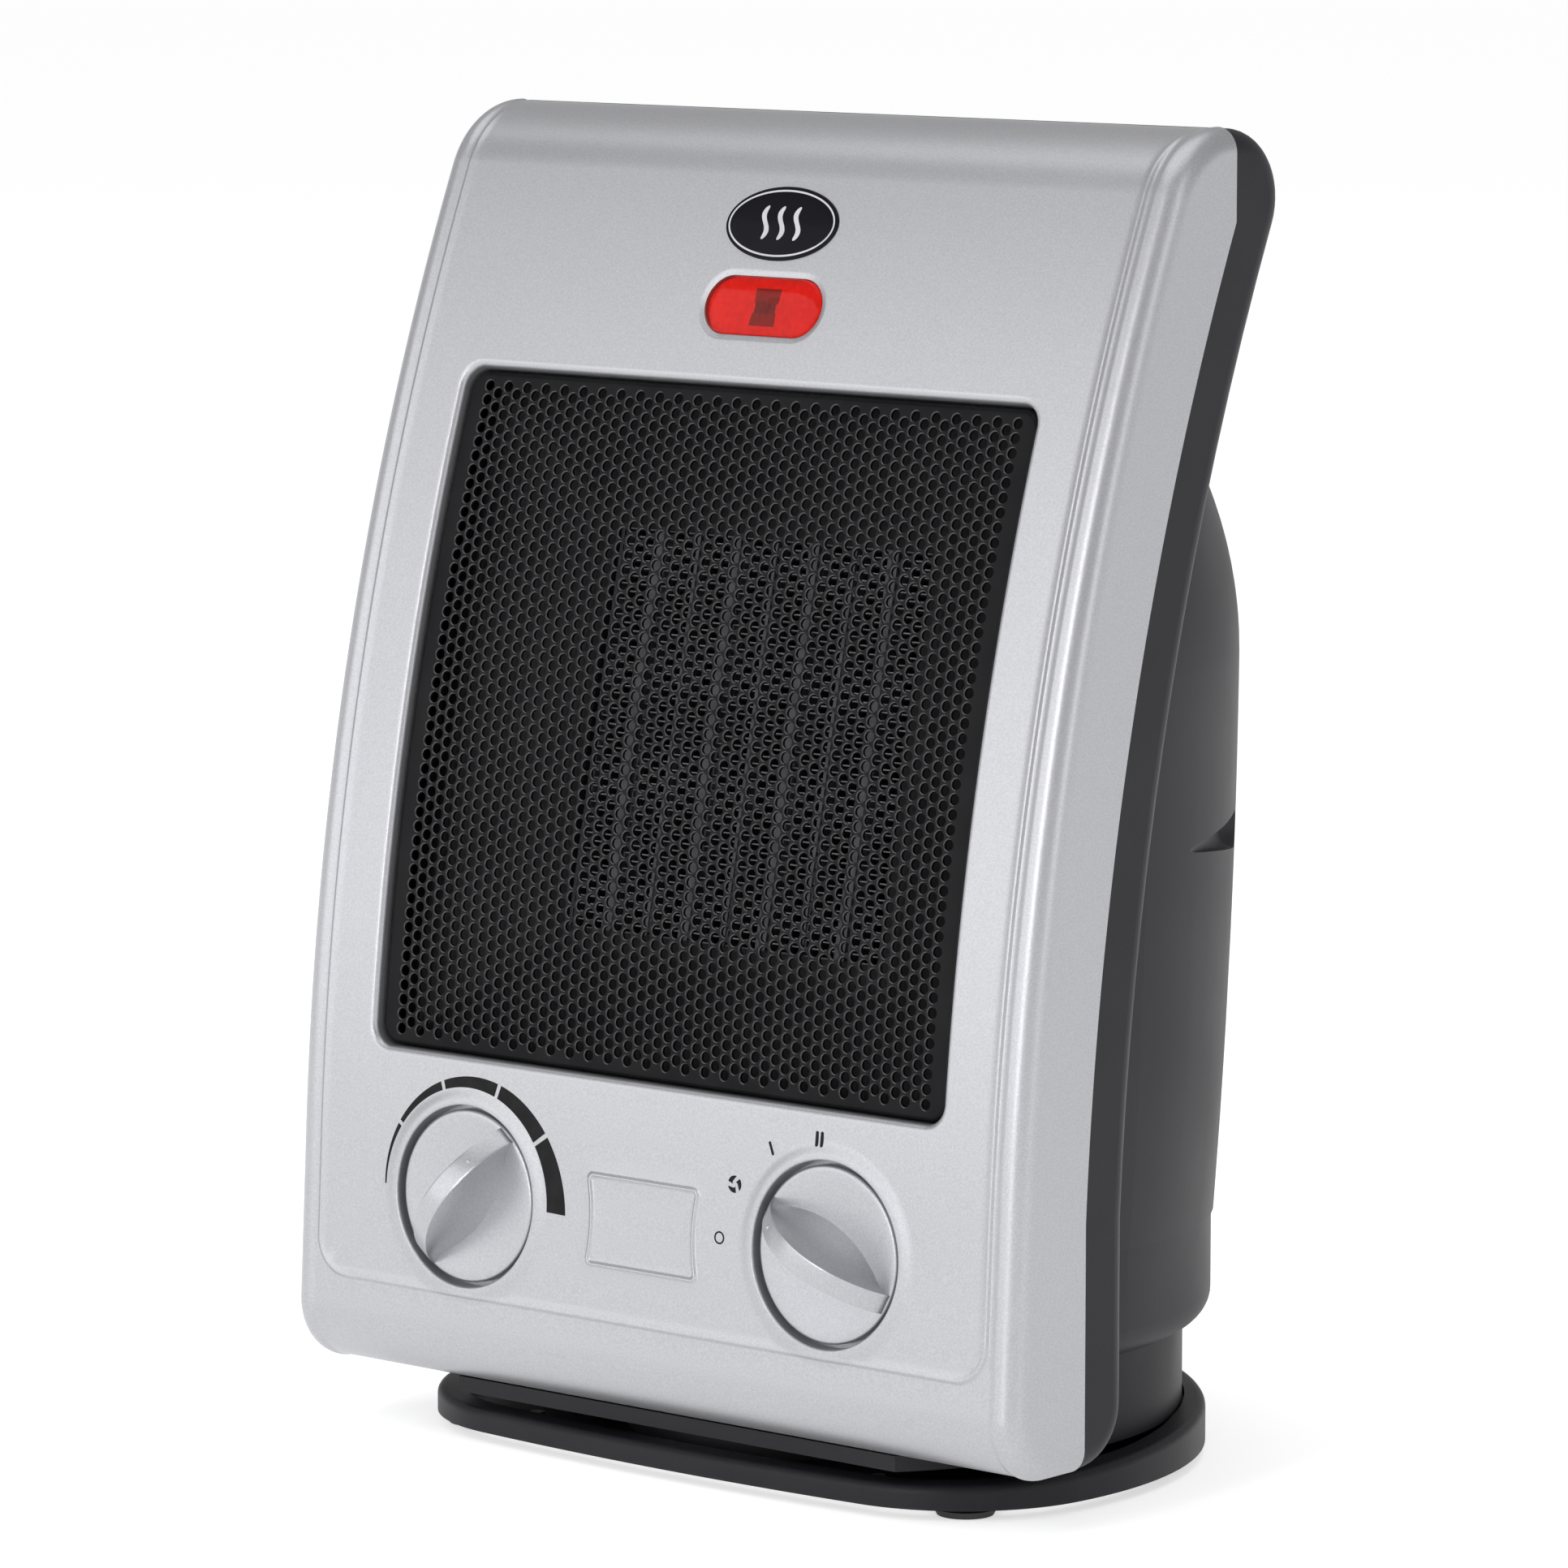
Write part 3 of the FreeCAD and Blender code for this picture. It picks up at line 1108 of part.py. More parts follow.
def rubber_foot(place):
    return Part.makeCone(size("foot_radius") - 0.8, size("foot_radius"), plate_low, place)


feature("tilt_switch", Part.makeBox(18, 12, 14, Vector(-46, axis_y + 22, neck_floor_top)))
block = Part.makeBox(32, 12, 13, Vector(14, axis_y + 24, neck_floor_top))
for pole in range(3):
    block = block.cut(Part.makeCylinder(2.2, 8, Vector(20 + pole * 10, axis_y + 30, neck_floor_top + 6)))
feature("terminal_block", block)
feature("rubber_feet", Part.makeCompound([rubber_foot(p) for p in feet_places]))

# ---------------------------------------------------------------- checks and files
doc.recompute()
os.makedirs("parts", exist_ok=True)
for item in doc.Objects:
    if "Invalid" in item.State or "Error" in item.State:
        raise RuntimeError("failed object: " + item.Label)
for label, item in nodes.items():
    if item.Shape.isNull() or not item.Shape.isValid():
        raise RuntimeError("bad shape: " + label)
for label, item in nodes.items():
    item.Shape.exportStep(os.path.join("parts", label + ".step"))
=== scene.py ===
import json
import math

import bpy
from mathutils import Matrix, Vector
from mathutils.geometry import delaunay_2d_cdt


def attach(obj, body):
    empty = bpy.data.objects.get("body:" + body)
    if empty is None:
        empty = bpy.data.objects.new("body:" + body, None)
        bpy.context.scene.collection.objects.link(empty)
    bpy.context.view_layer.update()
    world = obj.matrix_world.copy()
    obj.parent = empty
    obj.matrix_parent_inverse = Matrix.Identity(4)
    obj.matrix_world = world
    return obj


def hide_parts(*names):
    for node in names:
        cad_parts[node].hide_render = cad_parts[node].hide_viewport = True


# Looks of the ceramic space heater.  Shapes are worked out in millimetres and stored in metres.
# Local sheet coordinates: x across the heater, s along the side profile from the underside,
# over the front face and the brow to the top; lift is measured square out of the face.

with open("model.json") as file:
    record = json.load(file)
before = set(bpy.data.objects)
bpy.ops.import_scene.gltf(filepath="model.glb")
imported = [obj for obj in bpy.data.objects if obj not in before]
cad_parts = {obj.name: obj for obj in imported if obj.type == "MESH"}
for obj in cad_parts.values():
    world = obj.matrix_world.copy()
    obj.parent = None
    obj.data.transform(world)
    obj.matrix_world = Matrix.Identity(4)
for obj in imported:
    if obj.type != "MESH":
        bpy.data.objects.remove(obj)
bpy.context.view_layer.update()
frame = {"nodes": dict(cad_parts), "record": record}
joints = {j["name"]: j for j in frame["record"]["behaviour"]["joints"]}
MM = 0.001

# ---------------------------------------------------------------- sizes shared with the CAD model
AXIS_Y = joints["swivel"]["pos_m"][1] / MM
HALF_WIDTH = 97.0
TOP = 273.6
BOTTOM = 12.7
FRONT_Y = AXIS_Y - 56.4
SHELL_DEPTH = 20.0
CHIN = 13.0                              # radius under the front
BROW = 20.4                              # radius over the top
LEAN = math.radians(3.0)                 # the flat lower panel leans back
FLAT_TOP = 63.2                          # the panel curves back above this height
PANEL_ARC = 573.0
OPENING = (152.0, 81.6, 220.6, 4.5)      # width, bottom, top, corner
KNOB_X = 48.3
KNOB_LEVEL = 53.1
KNOB_R = 17.8
WELL_R = 18.75
LENS = (30.4, 12.1, 235.9)               # width, height, level of the middle
BADGE = (29.4, 15.8, 252.1)
LABEL = (29.4, 18.2, 52.7)

# ---------------------------------------------------------------- visual detail
PANEL_RISE = 0.4                         # raised middle of the face, with a bead along its edge
BEAD_X = 90.2
BEAD_BOTTOM = 31.7
BEAD_CORNER = 8.5
BEAD_RISE = 0.14
RIDGE_FROM = 90.4                        # ridge along each side, where the rounded side starts
RIDGE_X = 92.2
RIDGE_RISE = 0.35
SIDE_ROUND = 5.0
COLLAR_IN, COLLAR_OUT, COLLAR_RISE = 19.2, 22.6, 0.6      # raised collar round each knob
MOUTH_ROUND = 1.5                        # rounded edge of the opening
LABEL_CORNER, LABEL_BOW, LABEL_RISE = 1.4, 1.1, 0.5       # blank frame, its sides bowed inward
LENS_ROUND = LENS[1] / 2 - 0.01
LENS_GAP = 0.35                          # gap round the lens


def smooth(value, low, high):
    t = min(1.0, max(0.0, (value - low) / (high - low)))
    return t * t * (3 - 2 * t)


# ---------------------------------------------------------------- the side profile
OUT = Vector((-math.cos(LEAN), math.sin(LEAN)))       # (y, z) square out of the flat panel
UP = Vector((math.sin(LEAN), math.cos(LEAN)))
chin_centre = Vector((FRONT_Y + CHIN, BOTTOM + CHIN))
chin_end = chin_centre + OUT * CHIN
flat_end = chin_end + UP * ((FLAT_TOP - chin_end.y) / UP.y)
arc_centre = flat_end - OUT * PANEL_ARC
brow_z = TOP - BROW
brow_ahead = math.sqrt((PANEL_ARC - BROW) ** 2 - (brow_z - arc_centre.y) ** 2)
brow_centre = Vector((arc_centre.x - brow_ahead, brow_z))
back_arc = PANEL_ARC - SHELL_DEPTH
foot_y = (arc_centre + OUT * back_arc).x
crest_y = brow_centre.x + 0.5


def angle_of(v):
    """Angle from straight ahead (-Y) up towards +Z."""
    return math.atan2(v.y, -v.x)


arc_from = angle_of(OUT)
arc_to = angle_of(brow_centre - arc_centre)
lengths = [
    foot_y - chin_centre.x,
    CHIN * (math.pi / 2 + arc_from),
    (flat_end - chin_end).length,
    PANEL_ARC * (arc_to - arc_from),
    BROW * (math.pi / 2 - arc_to),
    crest_y - brow_centre.x,
]
marks = [sum(lengths[:k]) for k in range(7)]
S_END = marks[6]


def profile(s):
    """Point and outward normal, both (y, z), at arc length s."""
    if s <= marks[1]:
        return Vector((foot_y - s, BOTTOM)), Vector((0, -1))
    if s <= marks[2]:
        a = -math.pi / 2 + (s - marks[1]) / CHIN
        n = Vector((-math.cos(a), math.sin(a)))
        return chin_centre + n * CHIN, n
    if s <= marks[3]:
        return chin_end + UP * (s - marks[2]), OUT.copy()
    if s <= marks[4]:
        a = arc_from + (s - marks[3]) / PANEL_ARC
        n = Vector((-math.cos(a), math.sin(a)))
        return arc_centre + n * PANEL_ARC, n
    if s <= marks[5]:
        a = arc_to + (s - marks[4]) / BROW
        n = Vector((-math.cos(a), math.sin(a)))
        return brow_centre + n * BROW, n
    return Vector((brow_centre.x + s - marks[5], TOP)), Vector((0, 1))


def s_at(level):
    """Arc length where the front face reaches a height."""
    if level <= FLAT_TOP:
        return marks[2] + (level - chin_end.y) / UP.y
    return marks[3] + PANEL_ARC * (math.asin((level - arc_centre.y) / PANEL_ARC) - arc_from)


def on_face(x, s, lift=0.0):
    point, normal = profile(s)
    place = point + normal * lift
    return Vector((x, place.x, place.y))


def face_normal(s):
    n = profile(s)[1]
    return Vector((0, n.x, n.y))


# ---------------------------------------------------------------- mesh building
class Build:
    """Collects points in millimetres; points at the same place are shared."""

    def __init__(self):
        self.points, self.normals, self.faces, self.index = [], [], [], {}

    def add(self, point, normal=None):
        key = (round(point.x, 3), round(point.y, 3), round(point.z, 3))
        if key in self.index:
            return self.index[key]
        self.index[key] = len(self.points)
        self.points.append(Vector(point))
        self.normals.append(Vector(normal) if normal else None)
        return self.index[key]

    def face(self, *corners):
        kept = []
        for corner in corners:
            if corner not in kept:
                kept.append(corner)
        if len(kept) > 2:
            self.faces.append(tuple(kept))

    def grid(self, rows, closed=False):
        """Quads between rows of point indices."""
        for a, b in zip(rows, rows[1:]):
            count = len(a)
            for k in range(count if closed else count - 1):
                n = (k + 1) % count
                self.face(a[k], a[n], b[n], b[k])

    def fan(self, row, centre):
        for k in range(len(row)):
            self.face(row[k], row[(k + 1) % len(row)], centre)

    def done(self, name, body, material, slot, sharp=35.0):
        mesh = bpy.data.meshes.new(name)
        mesh.from_pydata([p * MM for p in self.points], [], self.faces)
        mesh.validate()
        mesh.polygons.foreach_set("use_smooth", [True] * len(mesh.polygons))
        if all(n is not None for n in self.normals) and self.normals:
            mesh.normals_split_custom_set_from_vertices([n.normalized() for n in self.normals])
        else:
            mesh.set_sharp_from_angle(angle=math.radians(sharp))
        mesh.materials.append(material)
        obj = bpy.data.objects.new(name, mesh)
        bpy.context.scene.collection.objects.link(obj)
        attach(obj, body)
        return obj


def lathe(build, rings, count, place):
    """Rings of (radius, height) turned about a local axis; place maps (x, y, height) to a point."""
    rows = []
    for radius, height in rings:
        if radius < 1e-6:
            rows.append([build.add(place(0, 0, height))])
            continue
        row = []
        for k in range(count):
            a = 2 * math.pi * k / count
            row.append(build.add(place(radius * math.cos(a), radius * math.sin(a), height)))
        rows.append(row)
    for a, b in zip(rows, rows[1:]):
        if len(a) == 1:
            build.fan(list(reversed(b)), a[0])
        elif len(b) == 1:
            build.fan(a, b[0])
        else:
            build.grid([a, b], closed=True)


# ---------------------------------------------------------------- closed outlines in (x, s)
def rounded_loop(cx, cs, width, height, corner, grow, step):
    """Counter-clockwise rounded rectangle grown by a distance, with outward directions."""
    points = []
    w, h = width / 2 - corner, height / 2 - corner
    radius = corner + grow
    turns = max(6, int(math.ceil(math.pi / 2 * corner / 0.5)))
    for k, (sx, sy) in enumerate(((1, 1), (-1, 1), (-1, -1), (1, -1))):
        for t in range(turns + 1):
            a = math.pi / 2 * (k + t / turns)
            d = Vector((math.cos(a), math.sin(a)))
            points.append((Vector((cx + sx * w, cs + sy * h)) + d * radius, d))
        nx, ny = ((-1, 1), (-1, -1), (1, -1), (1, 1))[k]
        start = points[-1][0]
        direction = points[-1][1]
        end = Vector((cx + nx * w, cs + ny * h)) + direction * radius
        count = max(1, int((end - start).length / step))
        for t in range(1, count):
            points.append((start.lerp(end, t / count), direction))
    return points


def circle_loop(cx, cs, radius, count=96):
    points = []
    for k in range(count):
        a = 2 * math.pi * k / count
        d = Vector((math.cos(a), math.sin(a)))
        points.append((Vector((cx, cs)) + d * radius, d))
    return points


def box_distance(x, s, cx, cs, width, height, corner):
    qx = abs(x - cx) - width / 2 + corner
    qs = abs(s - cs) - height / 2 + corner
    outside = math.hypot(max(qx, 0), max(qs, 0))
    return outside + min(max(qx, qs), 0) - corner


def triangulate(loops, loose, keep):
    """Triangles over outlines and loose points; keep(centre) says which stay."""
    points, edges = [], []
    for loop, closed in loops:
        start = len(points)
        points += [Vector(p) for p in loop]
        count = len(loop)
        edges += [(start + k, start + (k + 1) % count) for k in range(count if closed else count - 1)]
    points += [Vector(p) for p in loose]
    verts, _, faces, _, _, _ = delaunay_2d_cdt(points, edges, [], 0, 1e-5)
    kept = []
    for tri in faces:
        centre = sum((verts[i] for i in tri), Vector((0, 0))) / len(tri)
        if keep(centre.x, centre.y):
            kept.append(tri)
    return verts, kept


# ---------------------------------------------------------------- materials
def material(name, color, roughness, metallic=0.0, **extra):
    mat = bpy.data.materials.new(name)
    mat.use_nodes = True
    shader = mat.node_tree.nodes["Principled BSDF"]
    shader.inputs["Base Color"].default_value = (*color, 1)
    shader.inputs["Roughness"].default_value = roughness
    shader.inputs["Metallic"].default_value = metallic
    for key, value in extra.items():
        shader.inputs[key.replace("_", " ")].default_value = value
    return mat


def noise_node(mat, scale, detail=2.0):
    nodes, links = mat.node_tree.nodes, mat.node_tree.links
    place = nodes.new("ShaderNodeTexCoord")
    noise = nodes.new("ShaderNodeTexNoise")
    noise.inputs["Scale"].default_value = scale
    noise.inputs["Detail"].default_value = detail
    links.new(place.outputs["Object"], noise.inputs["Vector"])
    return noise


def vary_color(mat, scale, dark, light, low=0.35, high=0.65, detail=2.0):
    """Colour that drifts between two tones."""
    nodes, links = mat.node_tree.nodes, mat.node_tree.links
    noise = noise_node(mat, scale, detail)
    ramp = nodes.new("ShaderNodeValToRGB")
    ramp.color_ramp.elements[0].position = low
    ramp.color_ramp.elements[1].position = high
    ramp.color_ramp.elements[0].color = (*dark, 1)
    ramp.color_ramp.elements[1].color = (*light, 1)
    links.new(noise.outputs["Fac"], ramp.inputs["Fac"])
    links.new(ramp.outputs["Color"], nodes["Principled BSDF"].inputs["Base Color"])


def vary_roughness(mat, scale, low, high):
    nodes, links = mat.node_tree.nodes, mat.node_tree.links
    noise = noise_node(mat, scale, 3.0)
    remap = nodes.new("ShaderNodeMapRange")
    remap.inputs["From Min"].default_value = 0.3
    remap.inputs["From Max"].default_value = 0.7
    remap.inputs["To Min"].default_value = low
    remap.inputs["To Max"].default_value = high
    links.new(noise.outputs["Fac"], remap.inputs["Value"])
    links.new(remap.outputs["Result"], nodes["Principled BSDF"].inputs["Roughness"])


def grain(mat, scale, strength, distance=0.0001, detail=2.0):
    """Fine moulded or sprayed relief."""
    nodes, links = mat.node_tree.nodes, mat.node_tree.links
    noise = noise_node(mat, scale, detail)
    bump = nodes.new("ShaderNodeBump")
    bump.inputs["Strength"].default_value = strength
    bump.inputs["Distance"].default_value = distance
    links.new(noise.outputs["Fac"], bump.inputs["Height"])
    links.new(bump.outputs["Normal"], nodes["Principled BSDF"].inputs["Normal"])


silver = material("silver_paint", (0.43, 0.43, 0.45), 0.36, 0.75)
vary_color(silver, 2600, (0.400, 0.402, 0.424), (0.462, 0.464, 0.486))
vary_roughness(silver, 9, 0.33, 0.39)
grain(silver, 3200, 0.12, 0.00005)
knob_silver = material("silver_knob_paint", (0.43, 0.43, 0.45), 0.3, 0.75)
vary_color(knob_silver, 2600, (0.400, 0.403, 0.425), (0.462, 0.465, 0.488))
vary_roughness(knob_silver, 14, 0.28, 0.34)
grain(knob_silver, 3200, 0.1, 0.00005)
dark_plastic = material("dark_moulded_plastic", (0.018, 0.018, 0.022), 0.46, Specular_IOR_Level=0.3)
vary_color(dark_plastic, 60, (0.016, 0.016, 0.020), (0.021, 0.021, 0.025))
vary_roughness(dark_plastic, 30, 0.46, 0.56)
grain(dark_plastic, 1500, 0.25, 0.0001)
frame_plastic = material("frame_moulded_plastic", (0.013, 0.013, 0.017), 0.44, Specular_IOR_Level=0.24)
vary_color(frame_plastic, 60, (0.011, 0.011, 0.015), (0.015, 0.015, 0.019))
vary_roughness(frame_plastic, 30, 0.42, 0.5)
grain(frame_plastic, 1500, 0.25, 0.0001)
base_plastic = material("base_plastic", (0.010, 0.010, 0.013), 0.46, Specular_IOR_Level=0.22)
vary_color(base_plastic, 60, (0.009, 0.009, 0.012), (0.012, 0.012, 0.015))
vary_roughness(base_plastic, 30, 0.42, 0.54)
grain(base_plastic, 1500, 0.25, 0.0001)
grille_paint = material("grille_gloss_black", (0.004, 0.004, 0.005), 0.26, Specular_IOR_Level=0.09)
vary_roughness(grille_paint, 40, 0.22, 0.3)
vary_color(grille_paint, 80, (0.004, 0.004, 0.005), (0.007, 0.007, 0.008))
# hole rims: base colour much lighter than the grille black, a painted highlight on the hole edges
rim_highlight_paint = material("grille_rim_painted_highlight", (0.035, 0.035, 0.038), 0.22)
vary_roughness(rim_highlight_paint, 40, 0.18, 0.28)
duct_plastic = material("duct_black", (0.008, 0.008, 0.009), 0.55, Specular_IOR_Level=0.2)
vary_color(duct_plastic, 60, (0.007, 0.007, 0.008), (0.010, 0.010, 0.011))
vary_roughness(duct_plastic, 30, 0.5, 0.62)
grain(duct_plastic, 900, 0.3)
aluminium = material("element_aluminium", (0.22, 0.22, 0.23), 0.5, 0.7)
vary_roughness(aluminium, 300, 0.42, 0.58)
vary_color(aluminium, 200, (0.18, 0.182, 0.19), (0.26, 0.262, 0.272))
tube_metal = material("heater_tube_metal", (0.12, 0.12, 0.13), 0.55, 0.7)
vary_color(tube_metal, 200, (0.1, 0.1, 0.108), (0.14, 0.142, 0.15))
ceramic = material("ptc_ceramic", (0.2, 0.19, 0.18), 0.7)
vary_color(ceramic, 300, (0.17, 0.16, 0.15), (0.24, 0.23, 0.21))
steel = material("plain_steel", (0.5, 0.5, 0.5), 0.35, 1.0)
vary_roughness(steel, 200, 0.28, 0.42)
zinc = material("zinc_plate", (0.6, 0.6, 0.58), 0.3, 1.0)
vary_color(zinc, 150, (0.55, 0.55, 0.52), (0.64, 0.64, 0.63))
copper = material("coil_winding", (0.5, 0.2, 0.09), 0.4, 0.7)
vary_color(copper, 400, (0.42, 0.16, 0.07), (0.56, 0.24, 0.11))
brass = material("brass_tab", (0.7, 0.52, 0.22), 0.3, 1.0)
vary_roughness(brass, 200, 0.25, 0.4)
nylon = material("natural_nylon", (0.75, 0.74, 0.68), 0.45)
vary_color(nylon, 100, (0.72, 0.71, 0.65), (0.78, 0.77, 0.71))
holder = material("lamp_holder_plastic", (0.85, 0.83, 0.8), 0.4)
vary_color(holder, 100, (0.82, 0.8, 0.77), (0.88, 0.86, 0.83))
bakelite = material("control_case", (0.03, 0.028, 0.027), 0.45)
vary_roughness(bakelite, 80, 0.4, 0.55)
rubber = material("foot_rubber", (0.02, 0.02, 0.02), 0.8)
vary_roughness(rubber, 200, 0.72, 0.88)
dust_mesh = material("dust_mesh", (0.03, 0.03, 0.03), 0.8)
lens_red = material("lens_red", (0.86, 0.05, 0.028), 0.06, IOR=1.25, Transmission_Weight=0.9)
vary_color(lens_red, 40, (0.84, 0.045, 0.025), (0.89, 0.06, 0.033))
tray_red = material("lens_tray", (0.95, 0.5, 0.4), 0.5)
vary_color(tray_red, 900, (0.85, 0.4, 0.3), (1.0, 0.6, 0.5))
lamp_dark = material("lamp_dark", (0.012, 0.006, 0.006), 0.25)
vary_roughness(lamp_dark, 300, 0.2, 0.35)
badge_black = material("badge_black", (0.006, 0.006, 0.009), 0.25, Specular_IOR_Level=0.06)
vary_roughness(badge_black, 100, 0.13, 0.2)
badge_white = material("badge_print", (0.5, 0.5, 0.52), 0.45)
vary_color(badge_white, 100, (0.47, 0.47, 0.49), (0.53, 0.53, 0.55))
print_black = material("print_black", (0.008, 0.008, 0.009), 0.45, Specular_IOR_Level=0.12)
vary_color(print_black, 300, (0.006, 0.006, 0.007), (0.010, 0.010, 0.011))

# CAD nodes that stay as they are
NODE_LOOKS = {
    "rear_frame": frame_plastic, "rear_housing": dark_plastic, "housing_band": dark_plastic,
    "neck": base_plastic, "cord_gland": base_plastic, "base_dish": base_plastic,
    "bottom_plate": steel, "rubber_feet": rubber, "plate_screws": zinc, "thrust_washer": nylon,
    "pivot_washer": zinc, "pivot_screw": zinc, "dust_filter": dust_mesh, "air_duct": duct_plastic,
    "element_frame": duct_plastic, "element_tubes": tube_metal, "ptc_stones": ceramic,
    "fin_strips": aluminium, "fin_plates": tube_metal, "element_tabs": brass,
    "thermal_cutout": zinc, "fan_shroud": duct_plastic, "fan": bakelite, "motor_rotor": steel,
    "motor_stator": steel, "motor_coil": copper, "front_bearing_bridge": zinc,
    "rear_bearing_bridge": zinc, "thermostat_shaft": zinc, "function_shaft": nylon,
    "thermostat": bakelite, "function_switch": bakelite, "tilt_switch": bakelite,
    "terminal_block": nylon, "shell_screws": zinc, "housing_screws": zinc,
    "lamp_holder": holder, "neon_lamp": lamp_dark, "front_shell": silver, "grille": grille_paint,
    "badge": badge_black, "indicator_lens": lens_red, "thermostat_knob": knob_silver,
    "function_knob": knob_silver,
}
for node, look in NODE_LOOKS.items():
    obj = frame["nodes"][node]
    obj.data.materials.clear()
    obj.data.materials.append(look)

# ---------------------------------------------------------------- front shell
s_open_low, s_open_high = s_at(OPENING[1]), s_at(OPENING[2])
opening_mid = (s_open_low + s_open_high) / 2
opening_tall = s_open_high - s_open_low
s_knob = s_at(KNOB_LEVEL)
s_lens = s_at(LENS[2])
s_badge = s_at(BADGE[2])
s_label = s_at(LABEL[2])
s_bead = s_at(BEAD_BOTTOM)


def bead_distance(x, s):
    """Signed distance to the raised panel's outline, which has no upper end."""
    return box_distance(x, s, 0, s_bead + 300, 2 * BEAD_X, 600, BEAD_CORNER)


def label_bow(s):
    """How far the label frame's sides bow inward at arc length s."""
    rise = (s - s_label) / (LABEL[1] / 2)
    return LABEL_BOW * (1 - min(1, rise * rise))


def label_distance(x, s):
    """Signed distance to the label frame's centre line."""
    return box_distance(x, s, 0, s_label, LABEL[0] - 2 * label_bow(s), LABEL[1], LABEL_CORNER)


def opening_distance(x, s):
    return box_distance(x, s, 0, opening_mid, OPENING[0], opening_tall, OPENING[3])


def lens_distance(x, s):
    return box_distance(x, s, 0, s_lens, LENS[0], LENS[1], LENS_ROUND)


def lens_outline(grow, step=1.2):
    """The lens outline grown by a distance, with outward directions."""
    return rounded_loop(0, s_lens, LENS[0], LENS[1], LENS_ROUND, grow, step)


def knob_distance(x, s):
    """Distance to the nearer knob's middle."""
    return min(math.hypot(x - KNOB_X, s - s_knob), math.hypot(x + KNOB_X, s - s_knob))


def lift(x, s):
    """Height of the painted face above the plain profile."""
    fade = 1 - smooth(s, marks[4] + 4, marks[5] - 2)
    d = bead_distance(x, s)
    panel = PANEL_RISE * (1 - smooth(d, -0.8, 0.0)) * fade
    bead = BEAD_RISE * math.exp(-((d + 0.95) / 0.42) ** 2) * fade
    ridge = RIDGE_RISE * smooth(abs(x), RIDGE_FROM, RIDGE_X)
    label = LABEL_RISE * math.exp(-(label_distance(x, s) / 0.42) ** 2)
    rim = -0.35 * (1 - smooth(lens_distance(x, s), 0.1, 1.6))
    collar = COLLAR_RISE * (1 - smooth(knob_distance(x, s), COLLAR_IN + 0.3, COLLAR_OUT))
    return panel + bead + ridge + label + rim + collar


def sheet_point(x, s, extra=0.0):
    return on_face(x, s, lift(x, s) + extra)


def sheet_normal(x, s):
    e = 0.03
    across = sheet_point(x + e, s) - sheet_point(x - e, s)
    along = sheet_point(x, min(s + e, S_END)) - sheet_point(x, max(s - e, 0))
    return across.cross(along).normalized()


def profile_steps(coarse):
    """Arc lengths with finer steps round the chin and the brow."""
    steps = []
    for k, fine in enumerate((coarse, 1.0, coarse, coarse, 1.2, 0.5)):
        count = max(1, int(math.ceil(lengths[k] / fine)))
        steps += [marks[k] + lengths[k] * t / count for t in range(count)]
    return steps + [S_END]


shell = Build()
s_steps = profile_steps(3.0)
opening_ring = rounded_loop(0, opening_mid, OPENING[0], opening_tall, OPENING[3], MOUTH_ROUND, 2.0)
lens_loop = lens_outline(LENS_GAP, 1.0)
well_loops = [circle_loop(side * KNOB_X, s_knob, COLLAR_IN) for side in (-1, 1)]
loops = [([p for p, d in opening_ring], True), ([p for p, d in lens_loop], True)]
loops += [([p for p, d in loop], True) for loop in well_loops]
for side in (-1, 1):
    for step in range(1, 7):
        ring = circle_loop(side * KNOB_X, s_knob, COLLAR_IN + (COLLAR_OUT + 0.2 - COLLAR_IN) * step / 6)
        loops.append(([p for p, d in ring], True))
for grow in (0.5, 1.0, 1.6, 2.4):
    loops.append(([p for p, d in lens_outline(grow, 1.0)], True))

# lines along the bead: up the left side, round the corners and the bottom, up the right side
for grow in (-1.3, -0.95, -0.65, -0.4, -0.15, 0.1):
    half = BEAD_X + grow
    radius = BEAD_CORNER + grow
    low = s_bead - grow
    line_points = [Vector((-half, s)) for s in reversed(s_steps) if s > s_bead + BEAD_CORNER + 1]
    for side, start in ((-1, math.pi), (1, 1.5 * math.pi)):
        corner = Vector((side * (BEAD_X - BEAD_CORNER), s_bead + BEAD_CORNER))
        for t in range(13):
            a = start + math.pi / 2 * t / 12
            line_points.append(corner + Vector((math.cos(a), math.sin(a))) * radius)
        if side < 0:
            count = 56
            first, last = line_points[-1].x, -line_points[-1].x
            line_points += [Vector((first + (last - first) * t / count, low)) for t in range(1, count)]
    line_points += [Vector((half, s)) for s in s_steps if s > s_bead + BEAD_CORNER + 1]
    loops.append((line_points, False))

# lines along the label frame
for grow in (-0.9, -0.5, -0.2, 0.0, 0.2, 0.5, 0.9):
    ring = []
    for p, d in rounded_loop(0, s_label, LABEL[0], LABEL[1], LABEL_CORNER, grow, 0.9):
        inward = label_bow(p.y) * min(1, abs(p.x) / (LABEL[0] / 2))
        ring.append(Vector((p.x - math.copysign(inward, p.x), p.y)))
    loops.append((ring, True))

# the sheet's border, with the points across it that every row shares
ridge_lines = [RIDGE_FROM + (RIDGE_X - RIDGE_FROM) * k / 5 for k in range(5)]
border = [Vector((-RIDGE_X, s)) for s in s_steps]
cross = [-RIDGE_X] + [-x for x in reversed(ridge_lines)]
cross += [-BEAD_X + k * 2 * BEAD_X / 60 for k in range(61)]
cross += ridge_lines + [RIDGE_X]
border += [Vector((x, S_END)) for x in cross[1:-1]]
border += [Vector((RIDGE_X, s)) for s in reversed(s_steps)]
border += [Vector((x, 0)) for x in reversed(cross[1:-1])]
loops.append((border, True))


def in_holes(x, s, margin=0.0):
    return (opening_distance(x, s) < MOUTH_ROUND + margin or lens_distance(x, s) < LENS_GAP + margin
            or knob_distance(x, s) < COLLAR_IN + margin)


